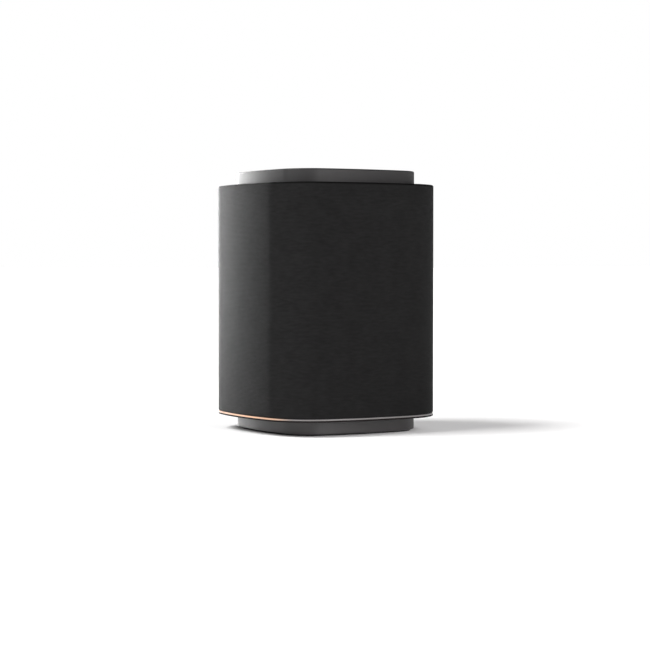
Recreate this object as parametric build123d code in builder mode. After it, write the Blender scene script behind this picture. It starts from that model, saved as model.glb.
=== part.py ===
"""Smart speaker: a fabric-covered column with a key cap, a light line round its foot and a
sealed loudspeaker cabinet inside.

Millimetres. Z is up and the origin is under the middle of the rubber foot. The front, where
the woofer faces and the light line is brightest, looks along -Y. Left and right are as seen
by someone who faces the front, so right is +X.
"""

from build123d import *
import os
from math import atan2, degrees, sqrt

os.makedirs("parts", exist_ok=True)

# ------------------------------------------------------------------ footprint
WIDTH = 120.0                  # across the flats, the same both ways
SIDE_RADIUS = 195.0            # bow of each side
CORNER_RADIUS = 33.0
SIDE_BACK = SIDE_RADIUS - WIDTH / 2
ARC_GAP = SIDE_RADIUS - CORNER_RADIUS
CORNER_CENTRE = (sqrt(2 * ARC_GAP**2 - SIDE_BACK**2) - SIDE_BACK) / 2
SIDE_ANGLE = degrees(atan2(CORNER_CENTRE, CORNER_CENTRE + SIDE_BACK))

# ------------------------------------------------------------------ levels, bottom to top
PLINTH_BOTTOM = 0.8
PLINTH_FLOOR_TOP = 2.5
TRAY_BOTTOM = 9.1
LIP_TOP = 10.1
LIGHT_TOP = 10.9
SLEEVE_BOTTOM = 11.3
TRAY_TOP = 12.3
BOARD_BOTTOM = 15.5
BOARD_THICKNESS = 1.6
BOARD_TOP = BOARD_BOTTOM + BOARD_THICKNESS
CABINET_BOTTOM = 24.0
CABINET_TOP = 136.2
LID_BOTTOM = 137.0
LID_TOP = 140.0
EAR_BOTTOM = 146.6
SHOULDER_BOTTOM = 148.6
SHOULDER_TOP = 150.8
BODY_TOP = 152.0
CONTROL_BOARD_BOTTOM = 150.6
CONTROL_BOARD_TOP = CONTROL_BOARD_BOTTOM + BOARD_THICKNESS
CAP_PLATE_BOTTOM = 158.3
HEIGHT = 160.5

# ------------------------------------------------------------------ insets from the footprint
CAP_INSET = 12.0               # the cap and the plinth stand in from the fabric
CAP_WALL = 2.4
PLINTH_WALL = 2.2
FABRIC = 1.2
SHELL_WALL = 2.2
SHELL_INNER = FABRIC + SHELL_WALL
SHOULDER_INSET = 14.2
SPIGOT_INSET = 14.6
SPIGOT_WALL = 2.2
CABINET_INSET = 10.0
CABINET_WALL = 2.8
CABINET_INNER = CABINET_INSET + CABINET_WALL
LIGHT_INSET = 0.2
LIGHT_INNER = 7.0
TRAY_STEP = 7.2
FOOT_INSET = 14.0

# ------------------------------------------------------------------ screw places and sizes
CORNER_POST = 32.5             # tray posts, lid posts and shell ears, x and y
CORNER_POST_RADIUS = 4.0
PLINTH_POST = 24.0             # x and y
LID_BOSS_X = 42.5
LID_BOSS_Y = 22.0
BOARD_BOSS_X = 38.0
BOARD_BOSS_Y = 18.0
SCREW_RADIUS = 1.45
SMALL_SCREW_RADIUS = 1.0
HEAD_RADIUS = 2.6
SMALL_HEAD_RADIUS = 1.9
HEAD_HEIGHT = 1.5
CLEARANCE = 0.15               # round a screw that passes through
BLIND_END = 0.8                # left uncut at the end of a pilot hole

# ------------------------------------------------------------------ loudspeakers
FRONT = (0, -1, 0)
LEFT = (-1, 0, 0)
RIGHT = (1, 0, 0)
WOOFER_HEIGHT = 64.0
WOOFER_FACE = 45.8             # seat of the gasket, forward of the axis of the body
WOOFER_FLANGE_RADIUS = 36.0
WOOFER_HOLE_RADIUS = 31.5
WOOFER_GASKET = 0.8
WOOFER_FRONT = 48.2            # front of the flange and of the cone's rim
WOOFER_SCREW_CIRCLE = 34.2
WOOFER_SCREWS = 6
PLATE_BACK = 22.0
PLATE_FRONT = 26.0
MAGNET_BACK = 10.0
YOKE_BACK = 6.0
MAGNET_RADIUS = 20.0
POLE_RADIUS = 6.0
COIL_INNER = 6.35
COIL_OUTER = 7.05
CONE_RADIUS = 26.0
TWEETER_HEIGHT = 118.0
TWEETER_FACE = 48.2
TWEETER_RADIUS = 16.0
TWEETER_HOLE_RADIUS = 12.5
TWEETER_SCREW_CIRCLE = 14.4
TWEETER_SCREWS = 3
DRIVER_SCREW_TURN = 30         # first screw's angle on either circle
RADIATOR_HEIGHT = 80.0
RADIATOR_FACE = 47.0
RADIATOR_HOLE_RADIUS = 24.6
RADIATOR_SEAT_RADIUS = 30.0
RADIATOR_RADIUS = 20.4

# ------------------------------------------------------------------ keys
KEY_CIRCLE = 17.0
KEY_RADIUS = 6.5
KEY_GAP = 0.25
KEY_TOP = 160.3
KEY_FLANGE_RADIUS = 7.3
KEY_FLANGE_TOP = 158.15
KEY_FLANGE_BOTTOM = 157.0
PLUNGER_TOP = 156.4
PLUNGER_BOTTOM = 153.2
PLUNGER_RADIUS = 1.6
SWITCH_SIZE = 6.2
SWITCH_TOP = 155.6
SWITCH_FLOOR = 0.4
SWITCH_BORE = 1.8
DISH_RADIUS = 28.0
DISH_DEPTH = 0.5
ICON_DEPTH = 0.2
MIC_PLACE = 25.5               # x and y of the four microphones
CAP_BOSS_CIRCLE = 31.0
INDICATOR_PLACE = 25.8
INDICATOR_RADIUS = 0.8

# ------------------------------------------------------------------ power inlet
JACK_WIDTH = 9.0
JACK_HEIGHT = 6.5
JACK_FRONT = 34.5
JACK_MOUTH = 47.9
JACK_BORE_RADIUS = 2.75
JACK_BORE_DEPTH = 9.5
JACK_AXIS = PLINTH_FLOOR_TOP + JACK_HEIGHT / 2
PIN_RADIUS = 1.05
PIN_LENGTH = 8.5


# ------------------------------------------------------------------ helpers
def outline(inset=0.0):
    """The footprint drawn in by the inset: four bowed sides joined by round corners."""
    with BuildSketch(Plane.XY) as shape:
        with BuildLine():
            for quarter in range(4):
                turn = 90 * quarter
                side = Vector(-SIDE_BACK, 0).rotate(Axis.Z, turn)
                corner = Vector(CORNER_CENTRE, CORNER_CENTRE).rotate(Axis.Z, turn)
                CenterArc(side, SIDE_RADIUS - inset, turn - SIDE_ANGLE, 2 * SIDE_ANGLE)
                CenterArc(corner, CORNER_RADIUS - inset, turn + SIDE_ANGLE, 90 - 2 * SIDE_ANGLE)
        make_face()
    return shape.sketch


def ring(outer_inset, inner_inset):
    """The band between two insets of the footprint."""
    with BuildSketch(Plane.XY) as shape:
        add(outline(outer_inset))
        add(outline(inner_inset), mode=Mode.SUBTRACT)
    return shape.sketch


def half_width(inset, offset=0.0):
    """Distance from the middle to an inset side, at an offset along that side."""
    return sqrt((SIDE_RADIUS - inset) ** 2 - offset**2) - SIDE_BACK


def facing(direction, height):
    """Plane with x forward out of a side of the body and y up, for turned profiles."""
    forward = Vector(direction)
    return Plane(origin=(0, 0, height), x_dir=forward, z_dir=forward.cross(Vector(0, 0, 1)))


def facing_axis(direction, height):
    """Axis of a loudspeaker in a side of the body."""
    return Axis((0, 0, height), direction)


def seat(direction, height, distance):
    """Plane square to a loudspeaker's axis, at a distance forward of the body's middle."""
    return Plane(origin=Vector(direction) * distance + Vector(0, 0, height), z_dir=direction)


def screw(head_radius, head_height, shank_radius, length):
    """Pan-head screw with a cross recess: seat at the origin, shank down."""
    with BuildPart() as body:
        with BuildSketch(Plane.XY):
            Circle(head_radius)
        extrude(amount=head_height)
        fillet(body.edges().sort_by(Axis.Z)[-1], head_height * 0.4)
        with BuildSketch(Plane.XY):
            Circle(shank_radius)
        extrude(amount=-length)
        chamfer(body.edges().sort_by(Axis.Z)[0], shank_radius * 0.4)
        with BuildSketch(Plane.XY.offset(head_height)):
            Rectangle(head_radius * 1.1, head_radius * 0.28)
            Rectangle(head_radius * 0.28, head_radius * 1.1)
        extrude(amount=-head_height * 0.5, mode=Mode.SUBTRACT)
    return body.part


def roll_profile(base, inner_edge, roll_centre, outer_edge, roll_radius, thickness):
    """Section of a half-roll surround on a flat base: forward is x, radius is y."""
    outer_reach = sqrt(roll_radius**2 - thickness**2)
    inner_radius = roll_radius - thickness
    front = base + thickness
    with BuildSketch(Plane.XY) as shape:
        with BuildLine():
            Polyline(
                (base, roll_centre - inner_radius),
                (base, inner_edge),
                (front, inner_edge),
                (front, roll_centre - outer_reach),
            )
            ThreePointArc(
                (front, roll_centre - outer_reach),
                (base + roll_radius, roll_centre),
                (front, roll_centre + outer_reach),
            )
            Polyline(
                (front, roll_centre + outer_reach),
                (front, outer_edge),
                (base, outer_edge),
                (base, roll_centre + inner_radius),
            )
            ThreePointArc(
                (base, roll_centre + inner_radius),
                (base + inner_radius, roll_centre),
                (base, roll_centre - inner_radius),
            )
        make_face()
    return shape.sketch


# ------------------------------------------------------------------ icons cut in the keys
ICON_SIZE = 6.0
ICON_LINE = 0.8
CAPSULE_LENGTH = 3.4
CAPSULE_WIDTH = 1.8
CAPSULE_RISE = 0.9
STAND_LENGTH = 1.4
STAND_DROP = 2.1
STAND_FOOT_LENGTH = 3.0
STAND_FOOT_DROP = 2.9
STRIKE_LENGTH = 7.2
STRIKE_TURN = 50
STRIKE_GAP = 0.45              # left uncut on each side of the strike


def minus_icon():
    """A bar."""
    with BuildSketch(Plane.XY) as shape:
        SlotOverall(ICON_SIZE, ICON_LINE)
    return shape.sketch


def plus_icon():
    """Two crossed bars."""
    with BuildSketch(Plane.XY) as shape:
        SlotOverall(ICON_SIZE, ICON_LINE)
        SlotOverall(ICON_SIZE, ICON_LINE, rotation=90)
    return shape.sketch


def action_icon():
    """A dot in a ring."""
    with BuildSketch(Plane.XY) as shape:
        Circle(ICON_SIZE / 2)
        Circle(ICON_SIZE / 2 - ICON_LINE, mode=Mode.SUBTRACT)
        Circle(ICON_LINE)
    return shape.sketch


def microphone_icon():
    """A capsule over a stand, struck through."""
    with BuildSketch(Plane.XY) as shape:
        with Locations((0, CAPSULE_RISE)):
            SlotOverall(CAPSULE_LENGTH, CAPSULE_WIDTH, rotation=90)
        with Locations((0, -STAND_DROP)):
            Rectangle(ICON_LINE, STAND_LENGTH)
        with Locations((0, -STAND_FOOT_DROP)):
            SlotOverall(STAND_FOOT_LENGTH, ICON_LINE)
        strike_band = ICON_LINE + 2 * STRIKE_GAP
        SlotOverall(STRIKE_LENGTH, strike_band, rotation=STRIKE_TURN, mode=Mode.SUBTRACT)
        SlotOverall(STRIKE_LENGTH, ICON_LINE, rotation=STRIKE_TURN)
    return shape.sketch


KEYS = (
    ("volume_up", (KEY_CIRCLE, 0), plus_icon),
    ("mic_mute", (0, KEY_CIRCLE), microphone_icon),
    ("volume_down", (-KEY_CIRCLE, 0), minus_icon),
    ("action", (0, -KEY_CIRCLE), action_icon),
)
KEY_PLACES = [place for name, place, icon in KEYS]


# ================================================================== foot and plinth
FOOT_RECESS = 0.8
FOOT_SLACK = 0.1
FOOT_EDGE = 0.3

with BuildPart() as rubber_foot:
    with BuildSketch(Plane.XY):
        add(outline(FOOT_INSET + FOOT_SLACK))
    extrude(amount=PLINTH_BOTTOM + FOOT_RECESS)
    chamfer(rubber_foot.faces().sort_by(Axis.Z)[0].edges(), FOOT_EDGE)

rubber_foot.part.label = "rubber_foot"
export_step(rubber_foot.part, "parts/rubber_foot.step")


PLINTH_POST_RADIUS = 3.5
PLINTH_SCREW_SEAT = 3.6
PLINTH_SCREW_LENGTH = 9.5
PLINTH_EDGE = 0.6
JACK_SLACK = 0.1
INLET_CUT = 6.6                # depth of the cut through the rear wall, half of it inside

with BuildPart() as base_plinth:
    with BuildSketch(Plane.XY.offset(PLINTH_BOTTOM)):
        add(outline(CAP_INSET))
    extrude(amount=TRAY_BOTTOM - PLINTH_BOTTOM)
    chamfer(base_plinth.faces().sort_by(Axis.Z)[0].edges(), PLINTH_EDGE)
    with BuildSketch(Plane.XY.offset(PLINTH_FLOOR_TOP)):
        add(outline(CAP_INSET + PLINTH_WALL))
    extrude(amount=TRAY_BOTTOM, mode=Mode.SUBTRACT)
    with BuildSketch(Plane.XY.offset(PLINTH_BOTTOM)):
        add(outline(FOOT_INSET))
    extrude(amount=FOOT_RECESS, mode=Mode.SUBTRACT)
    with BuildSketch(Plane.XY.offset(PLINTH_FLOOR_TOP)):
        with GridLocations(2 * PLINTH_POST, 2 * PLINTH_POST, 2, 2):
            Circle(PLINTH_POST_RADIUS)
    extrude(amount=TRAY_BOTTOM - PLINTH_FLOOR_TOP)
    with BuildSketch(Plane.XY.offset(PLINTH_BOTTOM)):
        with GridLocations(2 * PLINTH_POST, 2 * PLINTH_POST, 2, 2):
            Circle(HEAD_RADIUS + CLEARANCE)
    extrude(amount=PLINTH_SCREW_SEAT - PLINTH_BOTTOM, mode=Mode.SUBTRACT)
    with BuildSketch(Plane.XY.offset(PLINTH_BOTTOM)):
        with GridLocations(2 * PLINTH_POST, 2 * PLINTH_POST, 2, 2):
            Circle(SCREW_RADIUS + CLEARANCE)
    extrude(amount=TRAY_BOTTOM, mode=Mode.SUBTRACT)
    with BuildSketch(Plane.XY.offset(PLINTH_FLOOR_TOP)):
        with Locations((0, half_width(CAP_INSET))):
            Rectangle(JACK_WIDTH + 2 * JACK_SLACK, INLET_CUT)
    extrude(amount=TRAY_BOTTOM, mode=Mode.SUBTRACT)

base_plinth.part.label = "base_plinth"
export_step(base_plinth.part, "parts/base_plinth.step")


with BuildPart() as plinth_screws:
    with Locations((0, 0, PLINTH_SCREW_SEAT)):
        with GridLocations(2 * PLINTH_POST, 2 * PLINTH_POST, 2, 2):
            add(
                screw(HEAD_RADIUS, HEAD_HEIGHT, SCREW_RADIUS, PLINTH_SCREW_LENGTH),
                rotation=(180, 0, 0),
            )

plinth_screws.part.label = "plinth_screws"
export_step(plinth_screws.part, "parts/plinth_screws.step")


# ================================================================== power inlet and its lead
JACK_EDGE = 0.6
PIN_TIP = 0.4

with BuildPart() as dc_jack:
    with BuildSketch(Plane.XY.offset(PLINTH_FLOOR_TOP)):
        with Locations((0, (JACK_FRONT + JACK_MOUTH) / 2)):
            Rectangle(JACK_WIDTH, JACK_MOUTH - JACK_FRONT)
    extrude(amount=JACK_HEIGHT)
    chamfer(dc_jack.faces().sort_by(Axis.Y)[-1].edges().filter_by(Axis.Z), JACK_EDGE)
    with BuildSketch(Plane(origin=(0, JACK_MOUTH, JACK_AXIS), z_dir=(0, 1, 0))):
        Circle(JACK_BORE_RADIUS)
    extrude(amount=-JACK_BORE_DEPTH, mode=Mode.SUBTRACT)

dc_jack.part.label = "dc_jack"
export_step(dc_jack.part, "parts/dc_jack.step")


with BuildPart() as dc_jack_pin:
    with BuildSketch(Plane(origin=(0, JACK_MOUTH - JACK_BORE_DEPTH, JACK_AXIS), z_dir=(0, 1, 0))):
        Circle(PIN_RADIUS)
    extrude(amount=PIN_LENGTH)
    fillet(dc_jack_pin.edges().sort_by(Axis.Y)[-1], PIN_TIP)

dc_jack_pin.part.label = "dc_jack_pin"
export_step(dc_jack_pin.part, "parts/dc_jack_pin.step")


LEAD_RADIUS = 1.3
LEAD_BEND = 3.5
LEAD_Y = 30.0

with BuildPart() as power_lead:
    with BuildLine(Plane.YZ) as lead_path:
        FilletPolyline(
            (JACK_FRONT, JACK_AXIS),
            (LEAD_Y, JACK_AXIS),
            (LEAD_Y, BOARD_BOTTOM),
            radius=LEAD_BEND,
        )
    with BuildSketch(Plane(origin=(0, JACK_FRONT, JACK_AXIS), z_dir=(0, -1, 0))):
        Circle(LEAD_RADIUS)
    sweep(path=lead_path.wires()[0])

power_lead.part.label = "power_lead"
export_step(power_lead.part, "parts/power_lead.step")


# ================================================================== tray
TRAY_SCREW_SEAT = 11.7
TRAY_SCREW_LENGTH = 19.0
BOARD_BOSS_RADIUS = 3.0
PLINTH_BOSS_TOP = 14.3
LEAD_HOLE_RADIUS = 3.0
LIP_EDGE = 0.3

with BuildPart() as bottom_tray:
    with BuildSketch(Plane.XY.offset(TRAY_BOTTOM)):
        add(outline())
    extrude(amount=LIP_TOP - TRAY_BOTTOM)
    chamfer(bottom_tray.faces().sort_by(Axis.Z)[0].edges(), LIP_EDGE)
    with BuildSketch(Plane.XY.offset(LIP_TOP)):
        add(outline(TRAY_STEP))
    extrude(amount=TRAY_TOP - LIP_TOP)
    with BuildSketch(Plane.XY.offset(TRAY_TOP)):
        with GridLocations(2 * CORNER_POST, 2 * CORNER_POST, 2, 2):
            Circle(CORNER_POST_RADIUS)
    extrude(amount=CABINET_BOTTOM - TRAY_TOP)
    with BuildSketch(Plane.XY.offset(TRAY_TOP)):
        with GridLocations(2 * BOARD_BOSS_X, 2 * BOARD_BOSS_Y, 2, 2):
            Circle(BOARD_BOSS_RADIUS)
    extrude(amount=BOARD_BOTTOM - TRAY_TOP)
    with BuildSketch(Plane.XY.offset(TRAY_TOP)):
        with GridLocations(2 * PLINTH_POST, 2 * PLINTH_POST, 2, 2):
            Circle(PLINTH_POST_RADIUS)
    extrude(amount=PLINTH_BOSS_TOP - TRAY_TOP)
    with BuildSketch(Plane.XY.offset(TRAY_BOTTOM)):
        with GridLocations(2 * CORNER_POST, 2 * CORNER_POST, 2, 2):
            Circle(HEAD_RADIUS + CLEARANCE)
    extrude(amount=TRAY_SCREW_SEAT - TRAY_BOTTOM, mode=Mode.SUBTRACT)
    with BuildSketch(Plane.XY.offset(TRAY_BOTTOM)):
        with GridLocations(2 * CORNER_POST, 2 * CORNER_POST, 2, 2):
            Circle(SCREW_RADIUS + CLEARANCE)
    extrude(amount=CABINET_BOTTOM, mode=Mode.SUBTRACT)
    with BuildSketch(Plane.XY.offset(TRAY_BOTTOM)):
        with GridLocations(2 * PLINTH_POST, 2 * PLINTH_POST, 2, 2):
            Circle(SCREW_RADIUS)
    extrude(amount=PLINTH_BOSS_TOP - TRAY_BOTTOM - BLIND_END, mode=Mode.SUBTRACT)
    with BuildSketch(Plane.XY.offset(BOARD_BOTTOM)):
        with GridLocations(2 * BOARD_BOSS_X, 2 * BOARD_BOSS_Y, 2, 2):
            Circle(SMALL_SCREW_RADIUS)
    extrude(amount=TRAY_TOP - BOARD_BOTTOM, mode=Mode.SUBTRACT)
    with BuildSketch(Plane.XY.offset(TRAY_BOTTOM)):
        with Locations((0, LEAD_Y)):
            Circle(LEAD_HOLE_RADIUS)
    extrude(amount=TRAY_TOP - TRAY_BOTTOM, mode=Mode.SUBTRACT)

bottom_tray.part.label = "bottom_tray"
export_step(bottom_tray.part, "parts/bottom_tray.step")


with BuildPart() as tray_screws:
    with Locations((0, 0, TRAY_SCREW_SEAT)):
        with GridLocations(2 * CORNER_POST, 2 * CORNER_POST, 2, 2):
            add(
                screw(HEAD_RADIUS, HEAD_HEIGHT, SCREW_RADIUS, TRAY_SCREW_LENGTH),
                rotation=(180, 0, 0),
            )

tray_screws.part.label = "tray_screws"
export_step(tray_screws.part, "parts/tray_screws.step")


# ================================================================== light line
LIGHT_UPSTAND = 2.0
LIGHT_UPSTAND_TOP = 14.6

with BuildPart() as light_guide:
    with BuildSketch(Plane.XY.offset(LIP_TOP)):
        add(ring(LIGHT_INSET, LIGHT_INNER))
    extrude(amount=LIGHT_TOP - LIP_TOP)
    with BuildSketch(Plane.XY.offset(LIGHT_TOP)):
        add(ring(LIGHT_INNER - LIGHT_UPSTAND, LIGHT_INNER))
    extrude(amount=LIGHT_UPSTAND_TOP - LIGHT_TOP)

light_guide.part.label = "light_guide"
export_step(light_guide.part, "parts/light_guide.step")


LED_BOARD_THICKNESS = 1.0
LED_BOARD_OUTER = 7.4
LED_BOARD_INNER = 13.0
LED_BOARD_END = -30.0          # y where the strip stops, short of the side screws

with BuildPart() as led_board:
    with BuildSketch(Plane.XY.offset(TRAY_TOP)):
        add(ring(LED_BOARD_OUTER, LED_BOARD_INNER))
        with Locations((0, LED_BOARD_END - WIDTH / 2)):
            Rectangle(2 * WIDTH, WIDTH, mode=Mode.INTERSECT)
    extrude(amount=LED_BOARD_THICKNESS)

led_board.part.label = "led_board"
export_step(led_board.part, "parts/led_board.step")


LED_COUNT = 9
LED_PITCH = 6.0
LED_INSET = 8.4
LED_WIDTH = 3.0
LED_DEPTH = 1.4
LED_HEIGHT = 1.2

with BuildPart() as status_leds:
    with BuildSketch(Plane.XY.offset(TRAY_TOP + LED_BOARD_THICKNESS)):
        for number in range(LED_COUNT):
            led_x = LED_PITCH * (number - (LED_COUNT - 1) / 2)
            with Locations((led_x, -half_width(LED_INSET, led_x))):
                Rectangle(LED_WIDTH, LED_DEPTH)
    extrude(amount=LED_HEIGHT)

status_leds.part.label = "status_leds"
export_step(status_leds.part, "parts/status_leds.step")


# ================================================================== electronics bay
MAIN_BOARD_INSET = 17.0
NOTCH_START = 27.5             # the corners are cut away round the posts from here out
NOTCH_SIZE = 30.0
BOARD_SCREW_LENGTH = 4.4

with BuildPart() as main_board:
    with BuildSketch(Plane.XY.offset(BOARD_BOTTOM)):
        add(outline(MAIN_BOARD_INSET))
        with GridLocations(2 * NOTCH_START + NOTCH_SIZE, 2 * NOTCH_START + NOTCH_SIZE, 2, 2):
            Rectangle(NOTCH_SIZE, NOTCH_SIZE, mode=Mode.SUBTRACT)
        with GridLocations(2 * BOARD_BOSS_X, 2 * BOARD_BOSS_Y, 2, 2):
            Circle(SMALL_SCREW_RADIUS + CLEARANCE, mode=Mode.SUBTRACT)
    extrude(amount=BOARD_THICKNESS)

main_board.part.label = "main_board"
export_step(main_board.part, "parts/main_board.step")


with BuildPart() as board_screws:
    with Locations((0, 0, BOARD_TOP)):
        with GridLocations(2 * BOARD_BOSS_X, 2 * BOARD_BOSS_Y, 2, 2):
            add(screw(SMALL_HEAD_RADIUS, HEAD_HEIGHT, SMALL_SCREW_RADIUS, BOARD_SCREW_LENGTH))

board_screws.part.label = "board_screws"
export_step(board_screws.part, "parts/board_screws.step")


SHIELD_SIZE = 30.0
SHIELD_HEIGHT = 2.5
SHIELD_Y = -6.0
SHIELD_CORNER = 1.0
SHIELD_EDGE = 0.4

with BuildPart() as processor_shield:
    with BuildSketch(Plane.XY.offset(BOARD_TOP)):
        with Locations((0, SHIELD_Y)):
            RectangleRounded(SHIELD_SIZE, SHIELD_SIZE, SHIELD_CORNER)
    extrude(amount=SHIELD_HEIGHT)
    fillet(processor_shield.faces().sort_by(Axis.Z)[-1].edges(), SHIELD_EDGE)

processor_shield.part.label = "processor_shield"
export_step(processor_shield.part, "parts/processor_shield.step")


SPREADER_WIDTH = 42.0
SPREADER_DEPTH = 30.0
SPREADER_BASE = 1.2
FIN_HEIGHT = 1.8
FIN_THICKNESS = 1.0
FIN_COUNT = 8
FIN_PITCH = 5.0

with BuildPart() as heat_spreader:
    with BuildSketch(Plane.XY.offset(BOARD_TOP + SHIELD_HEIGHT)):
        with Locations((0, SHIELD_Y)):
            Rectangle(SPREADER_WIDTH, SPREADER_DEPTH)
    extrude(amount=SPREADER_BASE)
    with BuildSketch(Plane.XY.offset(BOARD_TOP + SHIELD_HEIGHT + SPREADER_BASE)):
        with Locations((0, SHIELD_Y)):
            with GridLocations(FIN_PITCH, 1, FIN_COUNT, 1):
                Rectangle(FIN_THICKNESS, SPREADER_DEPTH)
    extrude(amount=FIN_HEIGHT)

heat_spreader.part.label = "heat_spreader"
export_step(heat_spreader.part, "parts/heat_spreader.step")


CAPACITOR_RADIUS = 3.0
CAPACITOR_LENGTH = 11.0
CAPACITOR_X = -29.0
CAPACITOR_PITCH = 7.5          # side by side
CAPACITOR_ROW_PITCH = 13.0     # end to end

with BuildPart() as bulk_capacitors:
    with Locations((CAPACITOR_X, SHIELD_Y, BOARD_TOP + CAPACITOR_RADIUS)):
        with GridLocations(CAPACITOR_PITCH, CAPACITOR_ROW_PITCH, 2, 2):
            Cylinder(CAPACITOR_RADIUS, CAPACITOR_LENGTH, rotation=(90, 0, 0))

bulk_capacitors.part.label = "bulk_capacitors"
export_step(bulk_capacitors.part, "parts/bulk_capacitors.step")


INDUCTOR_SIZE = 7.0
INDUCTOR_CORNER = 1.2
INDUCTOR_EDGE = 0.5
INDUCTOR_HEIGHT = 4.2
INDUCTOR_COUNT = 3
INDUCTOR_PITCH = 10.0
INDUCTOR_X = 29.0

with BuildPart() as amplifier_inductors:
    with BuildSketch(Plane.XY.offset(BOARD_TOP)):
        with Locations((INDUCTOR_X, SHIELD_Y)):
            with GridLocations(1, INDUCTOR_PITCH, 1, INDUCTOR_COUNT):
                RectangleRounded(INDUCTOR_SIZE, INDUCTOR_SIZE, INDUCTOR_CORNER)
    extrude(amount=INDUCTOR_HEIGHT)
    chamfer(amplifier_inductors.faces().group_by(Axis.Z)[-1].edges(), INDUCTOR_EDGE)

amplifier_inductors.part.label = "amplifier_inductors"
export_step(amplifier_inductors.part, "parts/amplifier_inductors.step")


CONNECTOR_Y = 36.0
CONNECTOR_TOP = BOARD_TOP + 2.8
CONNECTOR_DEPTH = 5.0
RIBBON_CONNECTOR_WIDTH = 15.0
LIGHT_CONNECTOR_WIDTH = 12.0
PLUG_PLACES = ((-20, 33), (20, 33))
PLUG_SHELL = (8.0, 6.0)
PLUG_MOUTH = (6.0, 3.5)
PLUG_MOUTH_DEPTH = 2.0

with BuildPart() as board_connectors:
    with BuildSketch(Plane.XY.offset(BOARD_TOP)):
        with Locations((0, CONNECTOR_Y)):
            Rectangle(RIBBON_CONNECTOR_WIDTH, CONNECTOR_DEPTH)
        with Locations((0, -CONNECTOR_Y)):
            Rectangle(LIGHT_CONNECTOR_WIDTH, CONNECTOR_DEPTH)
        with Locations(*PLUG_PLACES):
            Rectangle(*PLUG_SHELL)
    extrude(amount=CONNECTOR_TOP - BOARD_TOP)
    with BuildSketch(Plane.XY.offset(CONNECTOR_TOP)):
        with Locations(*PLUG_PLACES):
            Rectangle(*PLUG_MOUTH)
    extrude(amount=-PLUG_MOUTH_DEPTH, mode=Mode.SUBTRACT)

board_connectors.part.label = "board_connectors"
export_step(board_connectors.part, "parts/board_connectors.step")


RIBBON_WIDTH = 12.0
RIBBON_THICKNESS = 0.4
RIBBON_BEND = 1.5
RIBBON_REAR = 52.0             # runs down between the cabinet and the grille shell
RIBBON_START_Y = 38.0
RIBBON_TOP = 144.5
RIBBON_LOW = 21.8

with BuildPart() as ribbon_cable:
    with BuildSketch(Plane.YZ):
        with BuildLine():
            FilletPolyline(
                (RIBBON_START_Y, CONTROL_BOARD_BOTTOM),
                (RIBBON_START_Y, RIBBON_TOP),
                (RIBBON_REAR, RIBBON_TOP),
                (RIBBON_REAR, RIBBON_LOW),
                (CONNECTOR_Y, RIBBON_LOW),
                (CONNECTOR_Y, CONNECTOR_TOP),
                radius=RIBBON_BEND,
            )
        trace(line_width=RIBBON_THICKNESS)
    extrude(amount=RIBBON_WIDTH / 2, both=True)

ribbon_cable.part.label = "ribbon_cable"
export_step(ribbon_cable.part, "parts/ribbon_cable.step")


# ================================================================== loudspeaker cabinet
CABINET_FLOOR = 3.0
FLOOR_BOSS_TOP = 32.0
LID_BOSS_RADIUS = 3.5
LID_BOSS_DEPTH = 16.0
WOOFER_PILOT_DEPTH = 7.0
TWEETER_PILOT_DEPTH = 4.2
WOOFER_BOSS_RADIUS = 39.0
WOOFER_BOSS_BACK = 38.0
TWEETER_BOSS_RADIUS = 17.9
TWEETER_BOSS_BACK = 43.5
RADIATOR_BOSS_RADIUS = 31.5
RADIATOR_BOSS_BACK = 42.0
SEAT_SLACK = 0.4
CUT_THROUGH = 10.0

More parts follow.
